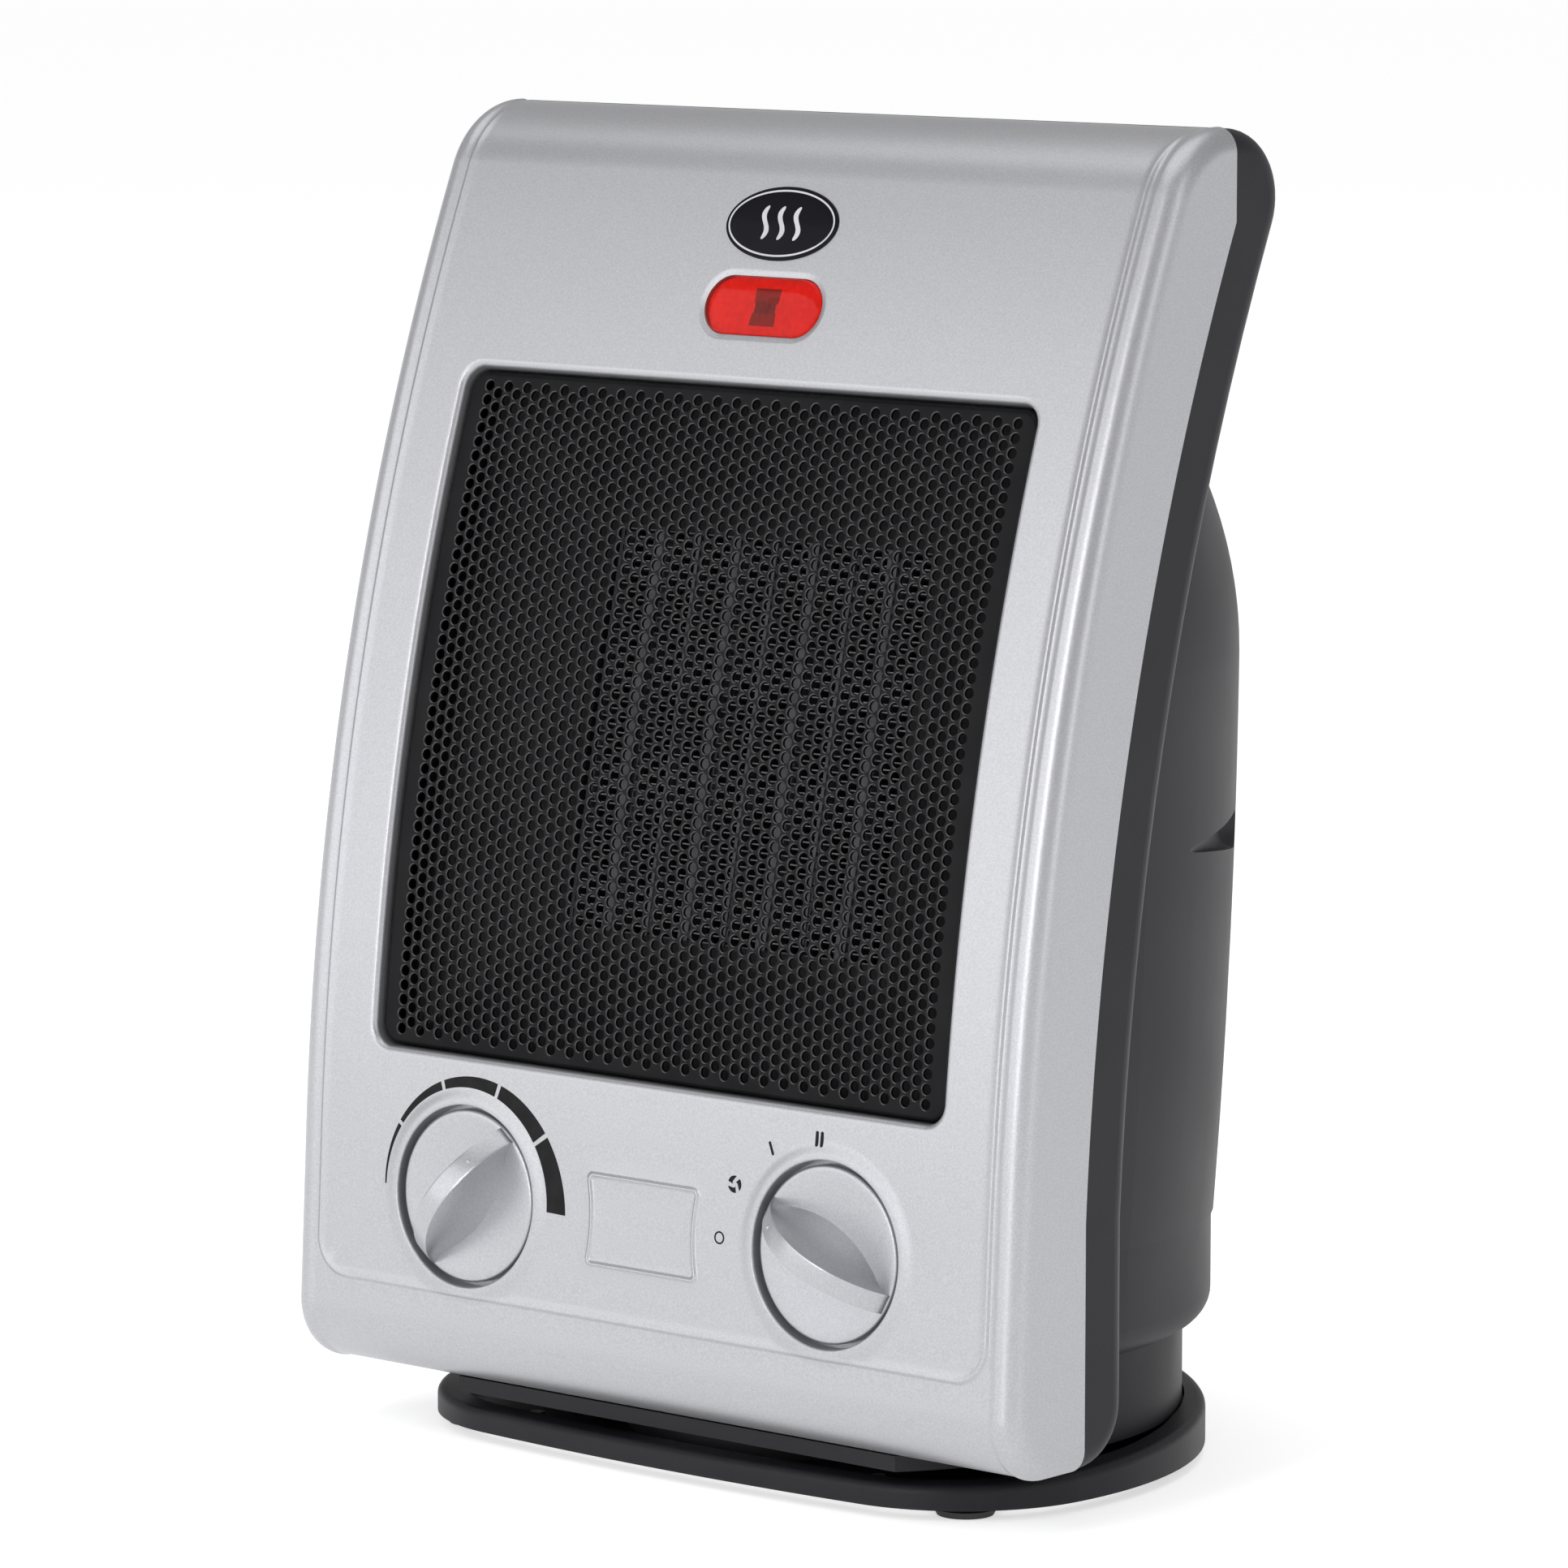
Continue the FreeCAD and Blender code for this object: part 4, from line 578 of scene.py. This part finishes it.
def on_sheet(x, s):
    return abs(x) < RIDGE_X and 0 < s < S_END and not in_holes(x, s)


loose = []
for s in s_steps[1:-1]:
    for x in cross[1:-1]:
        near_bead = -2.2 < bead_distance(x, s) < 0.7 and s > s_bead - 3
        near_label = abs(label_distance(x, s)) < 1.7
        near_lens = box_distance(x, s, 0, s_lens, LENS[0], LENS[1], 6) < 3.4
        near_collar = knob_distance(x, s) < COLLAR_OUT + 0.8
        if not (near_bead or near_label or near_lens or near_collar or in_holes(x, s, 1.2)):
            loose.append(Vector((x, s)))
verts, tris = triangulate(loops, loose, on_sheet)
ids = [shell.add(sheet_point(p.x, p.y), sheet_normal(p.x, p.y)) for p in verts]
for tri in tris:
    shell.face(*[ids[i] for i in tri])


def rolled_edge(loop, steps):
    """Rings from an outline down into a hole; steps are (inset, drop, tilt)."""
    rows = []
    for inset, drop, tilt in steps:
        row = []
        for p, d in loop:
            q = p - d * inset
            normal = face_normal(p.y)
            here = on_face(q.x, q.y, lift(p.x, p.y) - drop)
            toward = on_face(q.x - d.x * 0.1, q.y - d.y * 0.1, 0) - on_face(q.x, q.y, 0)
            facing = normal * math.cos(tilt) + toward.normalized() * math.sin(tilt)
            row.append(shell.add(here, facing if inset or drop else sheet_normal(p.x, p.y)))
        rows.append(row)
    shell.grid(rows, closed=True)


def quarter(radius, count):
    """Steps round a quarter circle, from flat with the face to straight down."""
    turns = [math.pi / 2 * t / count for t in range(count + 1)]
    return [(radius * math.sin(a), radius * (1 - math.cos(a)), a) for a in turns]


DOWN = math.pi / 2
WELL_DEPTH, WELL_FLOOR_R = 4.2, 16.5
rolled_edge(opening_ring, quarter(MOUTH_ROUND, 8) + [(MOUTH_ROUND, 3.0, DOWN), (MOUTH_ROUND, 5.0, DOWN)])
rolled_edge(lens_loop, quarter(0.25, 3) + [(0.25, 2.6, DOWN)])
mouth = COLLAR_IN - WELL_R
for loop in well_loops:
    rolled_edge(loop, quarter(mouth, 5) + [(mouth, WELL_DEPTH, DOWN)])
    rolled_edge(loop, [(mouth, WELL_DEPTH + 0.01, 0.0), (COLLAR_IN - WELL_FLOOR_R, WELL_DEPTH + 0.01, 0.0)])

# rounded sides, flat side walls and the return at the parting line
for side in (-1, 1):
    rows = []
    count = 12
    for t in range(count + 1):
        a = math.pi / 2 * t / count
        row = []
        for s in s_steps:
            x = RIDGE_X + (HALF_WIDTH - RIDGE_X) * math.sin(a)
            drop = SIDE_ROUND * (1 - math.cos(a))
            facing = face_normal(s) * (math.cos(a) / SIDE_ROUND) + Vector((side, 0, 0)) * (
                math.sin(a) / (HALF_WIDTH - RIDGE_X))
            start = lift(RIDGE_X, s)
            row.append(shell.add(on_face(side * x, s, start - drop), facing))
        rows.append(row)
    if side < 0:
        rows = [list(reversed(row)) for row in rows]
    shell.grid([list(reversed(row)) for row in rows])
    edge = [on_face(side * HALF_WIDTH, s, lift(RIDGE_X, s) - SIDE_ROUND) for s in s_steps]
    low_z, high_z = edge[0].z, edge[-1].z
    rows = []
    parting = []
    for k, s in enumerate(s_steps):
        level = low_z + (high_z - low_z) * s / S_END
        if level < (arc_centre + OUT * back_arc).y:
            y = foot_y
        else:
            y = arc_centre.x - math.sqrt(back_arc ** 2 - (level - arc_centre.y) ** 2)
        parting.append(Vector((side * HALF_WIDTH, min(y, crest_y), level)))
    for t in range(5):
        row = []
        for k in range(len(s_steps)):
            row.append(shell.add(edge[k].lerp(parting[k], t / 4), Vector((side, 0, 0))))
        rows.append(row)
    if side < 0:
        rows = [list(reversed(row)) for row in rows]
    shell.grid([list(reversed(row)) for row in rows])
shell_obj = shell.done("front_shell_painted", "body", silver, "silver_shell")
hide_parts("front_shell")

# ---------------------------------------------------------------- grille
GRILLE_DEPTH = 1.6                       # behind the face
SHEET = 0.8
PITCH = 3.0
HOLE_R = 1.16
PAN_GAP = 0.35                           # between the pan and the opening
ROLL = 1.3                               # outer radius of the pan's rolled edge
PAN_SIDE = 6.0                           # the pan's sides reach this far behind its face
grille, rims = Build(), Build()
half_w = OPENING[0] / 2 - PAN_GAP
column = PITCH * math.sqrt(3) / 2
cell = PITCH / math.sqrt(3)              # corner radius of a hole's hexagonal cell
columns = int((half_w - ROLL - cell) / column)
hexes = []
reach_s = opening_tall / 2 - PAN_GAP - ROLL
for i in range(-columns, columns + 1):
    offset = PITCH / 2 if i % 2 else 0.0
    rows_up = int((reach_s - PITCH / 2) / PITCH) + 1
    for j in range(-rows_up, rows_up + 1):
        x, ds = i * column, j * PITCH + offset
        if abs(ds) + PITCH / 2 + 0.1 < reach_s and abs(x) + cell < half_w - ROLL:
            corner_gap = box_distance(x, ds, 0, 0, 2 * (half_w - ROLL), 2 * reach_s, 3.2)
            if corner_gap < -PITCH / 2 - 0.12:
                hexes.append((x, opening_mid + ds))


def grille_point(x, s, drop=0.0):
    return on_face(x, s, -GRILLE_DEPTH - drop)


def hex_ring(x, s):
    """Twelve points: corners and edge middles of the cell."""
    ring = []
    for k in range(12):
        a = math.pi * k / 6
        r = cell if k % 2 == 0 else PITCH / 2
        ring.append(Vector((x + r * math.cos(a), s + r * math.sin(a), 0)))
    return ring


# cells laid out flat: an edge used once lies on the border of the perforated field
edge_use = {}
plan = Build()
cell_rings = []
for x, s in hexes:
    ring = [plan.add(p) for p in hex_ring(x, s)]
    cell_rings.append(ring)
    for k in range(12):
        a, b = ring[k], ring[(k + 1) % 12]
        edge_use.setdefault((min(a, b), max(a, b)), []).append((a, b))
plan_xy = [Vector((p.x, p.y)) for p in plan.points]
open_edges = [uses[0] for uses in edge_use.values() if len(uses) == 1]

def hole_ring(x, s, radius, drop):
    """Twelve points round a hole, stored in the grille."""
    ring = []
    for k in range(12):
        a = math.pi * k / 6
        point = grille_point(x + radius * math.cos(a), s + radius * math.sin(a), drop)
        ring.append(grille.add(point))
    return ring


LIP = 0.2                                # bevel round the front of each hole
for drop, turn in ((0.0, 1), (SHEET, -1)):
    for (x, s), ring in zip(hexes, cell_rings):
        outer = [grille.add(grille_point(plan_xy[i].x, plan_xy[i].y, drop)) for i in ring]
        if turn == 1:
            wide = hole_ring(x, s, HOLE_R + LIP, drop)
            tight = hole_ring(x, s, HOLE_R, drop + LIP)
            rims.grid([[rims.add(grille.points[i]) for i in row] for row in (wide, tight)], closed=True)
            back = hole_ring(x, s, HOLE_R, SHEET)
            grille.grid([outer, wide], closed=True)
            grille.grid([tight, back], closed=True)
        else:
            rows = [outer, hole_ring(x, s, HOLE_R, drop)]
            grille.grid([list(reversed(row)) for row in rows], closed=True)

# plain margin between the perforated field and the rolled edge
pan_tall = opening_tall - 2 * PAN_GAP
margin_loop = rounded_loop(0, opening_mid, 2 * half_w, pan_tall, OPENING[3], -ROLL, 2.0)
flat_points = [p for p, d in margin_loop]
start = len(flat_points)
used = sorted(set(i for e in open_edges for i in e))
where = {i: start + n for n, i in enumerate(used)}
flat_points += [plan_xy[i] for i in used]
flat_edges = [(k, (k + 1) % start) for k in range(start)] + [(where[a], where[b]) for a, b in open_edges]
margin_verts, _, margin_tris, _, _, _ = delaunay_2d_cdt(flat_points, flat_edges, [], 0, 1e-5)
BUCKET = 4                               # cells are looked up in squares of this size
buckets = {}
for x, s in hexes:
    buckets.setdefault((int(x // BUCKET), int(s // BUCKET)), []).append((x, s))


def in_cells(x, s):
    for i in (-1, 0, 1):
        for j in (-1, 0, 1):
            for hx, hs in buckets.get((int(x // BUCKET) + i, int(s // BUCKET) + j), ()):
                dx, ds = abs(x - hx), abs(s - hs)
                if ds < PITCH / 2 and dx * math.sqrt(3) / 2 + ds / 2 < PITCH / 2:
                    return True
    return False


for drop, turn in ((0.0, 1), (SHEET, -1)):
    for tri in margin_tris:
        c = sum((margin_verts[i] for i in tri), Vector((0, 0))) / len(tri)
        inside = box_distance(c.x, c.y, 0, opening_mid, 2 * half_w, pan_tall, OPENING[3]) < -ROLL
        if inside and not in_cells(c.x, c.y):
            corners = [grille.add(grille_point(margin_verts[i].x, margin_verts[i].y, drop)) for i in tri]
            grille.face(*(corners if turn == 1 else reversed(corners)))

# rolled edge and sides of the pan, front skin then back skin
for thick, turn in ((0.0, 1), (SHEET, -1)):
    radius = ROLL - thick
    path = [(radius * math.sin(a), thick + radius * (1 - math.cos(a)))
            for a in (math.pi / 2 * t / 6 for t in range(7))] + [(radius, PAN_SIDE)]
    rows = []
    for out, drop in path:
        rows.append([grille.add(grille_point(p.x + d.x * out, p.y + d.y * out, drop))
                     for p, d in margin_loop])
    if turn == -1:
        rows = [list(reversed(row)) for row in rows]
    grille.grid([list(reversed(row)) for row in rows], closed=True)
    if turn == 1:
        tail_front = rows[-1]
    else:
        tail_back = list(reversed(rows[-1]))
grille.grid([tail_back, tail_front], closed=True)
grille_obj = grille.done("perforated_grille", "body", grille_paint, "grille_black", 40)
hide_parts("grille")
# the hole bevels as their own piece, whose lighter colour paints the highlight along each hole edge
rims.done("grille_hole_rims", "body", rim_highlight_paint, "grille_black", 60)


# ---------------------------------------------------------------- knobs
KNOB_FACE = 0.0                          # level of the disc's flat rim
KNOB_EDGE = 0.75                         # rounded edge of the disc
GRIP_REACH, GRIP_RISE = 17.3, 10.9       # half length and height of the grip
GRIP_FOOT, GRIP_CREST = 6.1, 2.15        # half widths at the foot and along the crest
GRIP_SOFT, FLANK_BOW = 0.4, 1.1          # rounding of the crest, hollow of the flanks
GRIP_ARCH = 0.82                         # how full the arch is
DOT_REACH = 10.6                         # raised dot on the crest, from the knob's middle


def knob(name, joint, body, rest, node):
    """Disc with a dished face and a grip that arches between two curved flanks."""
    build = Build()
    normal = Vector(joints[joint]["axis"])
    x = joints[joint]["pos_m"][0] / MM
    origin = on_face(x, s_knob, 0)
    right = Vector((1, 0, 0))
    up = normal.cross(right)
    turn = math.radians(rest)
    along = right * math.cos(turn) + up * math.sin(turn)
    aside = normal.cross(along)

    def place(u, v, h):
        return origin + along * u + aside * v + normal * h

    face = KNOB_FACE
    rings = [(0.0, face - 0.5), (4.0, face - 0.5), (8.0, face - 0.42), (12.0, face - 0.25),
             (15.0, face - 0.06), (16.4, face), (KNOB_R - KNOB_EDGE, face)]
    for degrees in (18, 36, 54, 72, 90):
        a = math.radians(degrees)
        rings.append((KNOB_R - KNOB_EDGE + KNOB_EDGE * math.sin(a),
                      face - KNOB_EDGE + KNOB_EDGE * math.cos(a)))
    rings += [(KNOB_R, -3.0), (KNOB_R - 0.3, -3.4), (0.0, -3.4)]
    lathe(build, rings, 120, place)
    flank_arc = (GRIP_REACH ** 2 + GRIP_FOOT ** 2) / (2 * GRIP_FOOT)
    rows = []
    count = 64
    for k in range(count + 1):
        u = GRIP_REACH * math.sin(math.pi / 2 * (2 * k / count - 1))
        share = max(0.0, 1 - (u / GRIP_REACH) ** 2)
        top = face + GRIP_RISE * share ** GRIP_ARCH - 0.15
        wide = math.sqrt(max(0.0, flank_arc ** 2 - u * u)) - (flank_arc - GRIP_FOOT)
        crest = min(GRIP_CREST, math.sqrt(max(0.0, (KNOB_R - 0.3) ** 2 - u * u)))
        wide = max(wide, crest + 0.05)
        low = face - 0.55
        slope = Vector((wide - crest, top - low))
        soft_here = min(GRIP_SOFT, slope.length / 3, crest / 2)
        down = slope.normalized() * soft_here if slope.length > 0 else Vector((0, 0))
        section = []
        for t in range(5):
            f = t / 4
            bow = FLANK_BOW * math.sin(math.pi * f) * min(1, slope.length / 8) ** 2
            section.append((wide - (wide - crest - down.x) * f, low + (top - low - down.y) * f - bow))
        section += [(crest + down.x * 0.3, top - down.y * 0.3),
                    (crest - soft_here * 0.45, top - 0.05 * soft_here),
                    (crest - soft_here, top), (crest / 2, top + 0.03), (0.0, top + 0.04)]
        half_row = [place(u, -v, h) for v, h in section]
        other = [place(u, v, h) for v, h in reversed(section[:-1])]
        rows.append([build.add(p) for p in half_row + other])
    build.grid(rows)
    dot_top = face + GRIP_RISE * (1 - (DOT_REACH / GRIP_REACH) ** 2) ** GRIP_ARCH - 0.12
    dot = [(0.0, dot_top + 0.14), (0.3, dot_top + 0.13), (0.5, dot_top - 0.02), (0.62, dot_top - 0.3)]
    lathe(build, dot, 20, lambda a, b, h: place(DOT_REACH + a, b, h))
    obj = build.done(name, body, knob_silver, "silver_knob", 38)
    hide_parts(node)
    return obj


knob("thermostat_knob_turned", "thermostat_turn", "thermostat_control", 53.0, "thermostat_knob")
knob("function_knob_turned", "function_turn", "function_control", 152.5, "function_knob")


# ---------------------------------------------------------------- prints
INK = 0.03                               # thickness of the ink


def print_shape(build, outline):
    """Thin ink island: outline points (x, s) laid on the face."""
    flat, tris = triangulate([(outline, True)], [], lambda x, s: inside_polygon(outline, x, s))
    top = [build.add(sheet_point(p.x, p.y, INK)) for p in flat]
    for tri in tris:
        build.face(*[top[i] for i in tri])
    rim_top = [build.add(sheet_point(p.x, p.y, INK)) for p in outline]
    rim_low = [build.add(sheet_point(p.x, p.y, -0.02)) for p in outline]
    build.grid([rim_low, rim_top], closed=True)


def inside_polygon(outline, x, s):
    hit = False
    for k, a in enumerate(outline):
        b = outline[k - 1]
        if (a.y > s) != (b.y > s) and x < (b.x - a.x) * (s - a.y) / (b.y - a.y) + a.x:
            hit = not hit
    return hit


def polar(cx, radius, degrees):
    a = math.radians(degrees)
    return Vector((cx + radius * math.cos(a), s_knob + radius * math.sin(a)))


SCALE_IN = 22.35                         # inner radius of the heat scale
SCALE_THIN, SCALE_GROWTH = 22.75, 4.7    # its outer radius at the cold end, and what it gains
SCALE_CUTS = [180.0, 145.3, 108.4, 71.0, 34.9, -1.5]      # ends of its five parts, in degrees
SCALE_GAP = 1.1                          # half a gap between two parts, in degrees


def outer_radius(degrees):
    """The scale grows thicker clockwise."""
    share = (SCALE_CUTS[0] - degrees) / (SCALE_CUTS[0] - SCALE_CUTS[-1])
    return SCALE_THIN + SCALE_GROWTH * share ** 1.25


prints = Build()
for first, last in zip(SCALE_CUTS, SCALE_CUTS[1:]):
    start = first - (SCALE_GAP if first < SCALE_CUTS[0] else 0)
    end = last + (SCALE_GAP if last > SCALE_CUTS[-1] else 0)
    count = max(6, int((start - end) / 2.5))
    degrees = [start + (end - start) * t / count for t in range(count + 1)]
    ring = [polar(-KNOB_X, SCALE_IN, d) for d in degrees]
    ring += [polar(-KNOB_X, outer_radius(d), d) for d in reversed(degrees)]
    print_shape(prints, ring)

# off: a ring of ink in two halves
centre = polar(KNOB_X, 27.8, 180)
for half in (0, 1):
    arc = [math.pi * (half + t / 16) for t in range(17)]
    ring = [centre + Vector((0.98 * math.cos(a), 0.98 * math.sin(a))) * 1.35 for a in arc]
    ring += [centre + Vector((0.98 * math.cos(a), math.sin(a))) * 0.98 for a in reversed(arc)]
    print_shape(prints, ring)


def bar(middle, direction, long, wide):
    side = Vector((-direction.y, direction.x)) * (wide / 2)
    end = direction * (long / 2)
    soft = direction * (wide * 0.3)
    return [middle - end + soft - side, middle - end - side * 0.4, middle - end + side * 0.4,
            middle - end + soft + side, middle + end - soft + side, middle + end + side * 0.4,
            middle + end - side * 0.4, middle + end - soft - side]


# one bar and two bars for the heats, and a three-bladed fan
up_line = Vector((0, 1))
slant = Vector((math.cos(math.radians(113)), math.sin(math.radians(113))))
print_shape(prints, list(reversed(bar(polar(KNOB_X, 24.6, 127.7), slant, 2.9, 0.62))))
for shift in (-0.64, 0.64):
    middle = polar(KNOB_X, 22.9, 96.9) + Vector((shift, 0))
    print_shape(prints, list(reversed(bar(middle, up_line, 3.1, 0.72))))
fan_middle = polar(KNOB_X, 26.7, 155.2)
for blade in range(3):
    turn = math.radians(120 * blade + 75)
    outline = []
    for t in range(9):
        a = turn + math.radians(88) * t / 8
        outline.append(fan_middle + Vector((math.cos(a), math.sin(a))) * 1.75)
    for t in range(7):
        a = turn + math.radians(100) - math.radians(60) * t / 6
        outline.append(fan_middle + Vector((math.cos(a), math.sin(a))) * (0.5 + 0.06 * t))
    print_shape(prints, outline)
prints.done("dial_prints", "body", print_black, "silver_shell", 30)

# ---------------------------------------------------------------- badge and lens
badge_lift = PANEL_RISE


def badge_rings(build, rings, count=96):
    """Ovals shaped like the badge; rings are (grow, height)."""
    rows = []
    for grow, height in rings:
        row = []
        for k in range(count):
            a = 2 * math.pi * k / count
            row.append(build.add(on_face((BADGE[0] / 2 + grow) * math.cos(a),
                                         s_badge + (BADGE[1] / 2 + grow) * math.sin(a), height)))
        rows.append(row)
    return rows


badge = Build()
crown = [(0.0, -0.1), (0.0, 0.2), (-0.15, 0.32), (-0.4, 0.36), (-2.5, 0.4), (-5.0, 0.43), (-7.0, 0.45)]
rows = badge_rings(badge, [(grow, badge_lift + height) for grow, height in crown])
badge.grid(rows, closed=True)
badge.fan(rows[-1], badge.add(on_face(0, s_badge, badge_lift + 0.46)))
badge_obj = badge.done("plain_badge", "body", badge_black, "badge_black", 40)
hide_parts("badge")


def badge_height(x, s):
    """Height of the crowned badge's face."""
    away = math.hypot(x / (BADGE[0] / 2), (s - s_badge) / (BADGE[1] / 2))
    return badge_lift + 0.48 - 0.09 * away ** 2


# a plain oval rim and three heat waves
mark = Build()
count = 96
rows = []
for grow, height in ((-0.75, 0.0), (-0.75, 0.06), (-1.15, 0.06), (-1.15, 0.0)):
    row = []
    for k in range(count):
        a = 2 * math.pi * k / count
        x, ds = (BADGE[0] / 2 + grow) * math.cos(a), (BADGE[1] / 2 + grow) * math.sin(a)
        row.append(mark.add(on_face(x, s_badge + ds, badge_height(x, s_badge + ds) - 0.06 + height)))
    rows.append(row)
mark.grid(rows, closed=True)
for shift in (-4.2, 0.0, 4.2):
    rows = []
    steps = 28
    for t in range(steps + 1):
        ds = -3.6 + 7.2 * t / steps
        middle = shift + 0.75 * math.sin(math.pi * 2 * t / steps)
        taper = 0.62 * math.sqrt(max(0.02, 1 - (2 * t / steps - 1) ** 6))
        row = []
        for v, height in ((-taper, -0.08), (-taper, 0.05), (taper, 0.05), (taper, -0.08)):
            x = middle + v
            row.append(mark.add(on_face(x, s_badge + ds, badge_height(x, s_badge + ds) + height)))
        rows.append(row)
    mark.grid([list(reversed(r)) for r in rows])
mark.done("badge_mark", "body", badge_white, "badge_black", 30)

LENS_BACK = -1.2
LENS_CROWN = [(0.0, LENS_BACK), (0.0, 0.1), (-0.12, 0.32), (-0.35, 0.46), (-0.8, 0.55), (-1.6, 0.62),
              (-3.0, 0.7), (-4.6, 0.74)]           # (grow, height) from the back to the crown
lens = Build()
lens.grid([[lens.add(on_face(p.x, p.y, height)) for p, d in lens_outline(grow)]
           for grow, height in LENS_CROWN], closed=True)
for (grow, height), flip in ((LENS_CROWN[-1], False), (LENS_CROWN[0], True)):
    cap = [p for p, d in lens_outline(grow)]
    flat, tris = triangulate([(cap, True)], [],
                             lambda x, s: box_distance(x, s, 0, s_lens, LENS[0], LENS[1], LENS[1] / 2) < grow)
    level = [lens.add(on_face(p.x, p.y, height)) for p in flat]
    for tri in tris:
        lens.face(*[level[i] for i in (reversed(tri) if flip else tri)])
lens_obj = lens.done("indicator_lens_clear", "body", lens_red, "lens_red", 40)
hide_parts("indicator_lens")


def slab(name, outline, low, high, look, slot):
    """Flat piece between two levels under the lens."""
    build = Build()
    flat, tris = triangulate([(outline, True)], [], lambda x, s: inside_polygon(outline, x, s))
    for height, flip in ((high, False), (low, True)):
        level = [build.add(on_face(p.x, p.y, height)) for p in flat]
        for tri in tris:
            build.face(*[level[i] for i in (reversed(tri) if flip else tri)])
    build.grid([[build.add(on_face(p.x, p.y, height)) for p in outline] for height in (low, high)],
               closed=True)
    return build.done(name, "body", look, slot, 30)


# the lens's red tray, and the dark lamp block that shows through
tray_outline = [p for p, d in lens_outline(-0.25)]
slab("lens_tray", tray_outline, LENS_BACK - 0.9, LENS_BACK - 0.1, tray_red, "lens_red")
half_block = [(3.3, 3.9), (-3.3, 3.9), (-3.1, 1.3), (-2.7, 1.0), (-2.7, -1.0), (-3.1, -1.3), (-3.3, -3.9),
              (3.3, -3.9), (3.1, -1.3), (2.7, -1.0), (2.7, 1.0), (3.1, 1.3)]
slab("lamp_block", [Vector((x, s_lens + ds)) for x, ds in half_block], LENS_BACK - 0.8, LENS_BACK - 0.03,
     lamp_dark, "lamp_glass")

# ---------------------------------------------------------------- camera, light and floor
AZIMUTH, ELEVATION, DISTANCE = math.radians(40.8), math.radians(7.48), 1590.1
FOCAL_LENGTH = 180.2236
camera_data = bpy.data.cameras.new("camera")
camera_data.sensor_width = 36.0
camera_data.lens = FOCAL_LENGTH
camera_data.shift_x = 0.0245
camera_data.shift_y = -0.0120
camera_data.clip_end = 20
camera = bpy.data.objects.new("camera", camera_data)
bpy.context.scene.collection.objects.link(camera)
target = Vector((0, AXIS_Y - 23.6, 143.2)) * MM
back = Vector((math.sin(AZIMUTH) * math.cos(ELEVATION), -math.cos(AZIMUTH) * math.cos(ELEVATION),
               math.sin(ELEVATION)))
camera.location = target + back * DISTANCE * MM
camera.rotation_euler = (-back).to_track_quat("-Z", "Y").to_euler()
bpy.context.scene.camera = camera


def softbox(name, place, aim, width, height, power):
    data = bpy.data.lights.new(name, "AREA")
    data.shape = "RECTANGLE"
    data.size, data.size_y = width, height
    data.energy = power
    light = bpy.data.objects.new(name, data)
    light.location = place
    light.rotation_euler = (Vector(aim) - Vector(place)).to_track_quat("-Z", "Y").to_euler()
    bpy.context.scene.collection.objects.link(light)


softbox("key_front", (-0.95, -1.9, 0.75), (0, 0, 0.12), 2.0, 1.4, 11.5)
softbox("edge_strip", (0.3, -2.0, 0.55), (0, 0, 0.14), 0.16, 1.7, 11)
softbox("fill_right", (1.9, -0.3, 0.8), (0, 0, 0.14), 0.6, 1.6, 4)
softbox("overhead", (-0.2, -0.2, 2.0), (0, 0, 0.1), 2.0, 2.0, 13)
# world: white at the horizon, dimmer overhead
world = bpy.data.worlds.new("studio")
world.use_nodes = True
sky = world.node_tree.nodes
sky["Background"].inputs["Color"].default_value = (1, 1, 1, 1)
direction = sky.new("ShaderNodeTexCoord")
split = sky.new("ShaderNodeSeparateXYZ")
level = sky.new("ShaderNodeMapRange")
for key, value in (("From Min", 0.04), ("From Max", 0.22), ("To Min", 1.0), ("To Max", 0.48)):
    level.inputs[key].default_value = value
world.node_tree.links.new(direction.outputs["Generated"], split.inputs["Vector"])
world.node_tree.links.new(split.outputs["Z"], level.inputs["Value"])
world.node_tree.links.new(level.outputs["Result"], sky["Background"].inputs["Strength"])
bpy.context.scene.world = world

FLOOR_REACH = 40.0                       # metres, so that its edge never shows
floor_mesh = bpy.data.meshes.new("floor")
floor_corners = [(x * FLOOR_REACH, y * FLOOR_REACH, 0) for x, y in ((-1, -1), (1, -1), (1, 1), (-1, 1))]
floor_mesh.from_pydata(floor_corners, [], [(0, 1, 2, 3)])
floor_look = material("pale_floor", (0.86, 0.86, 0.86), 0.9, Specular_IOR_Level=0.0, Emission_Strength=0.56)
floor_look.node_tree.nodes["Principled BSDF"].inputs["Emission Color"].default_value = (1, 1, 1, 1)
floor_mesh.materials.append(floor_look)
floor = bpy.data.objects.new("floor", floor_mesh)
bpy.context.scene.collection.objects.link(floor)
bpy.context.scene.view_settings.view_transform = "Standard"
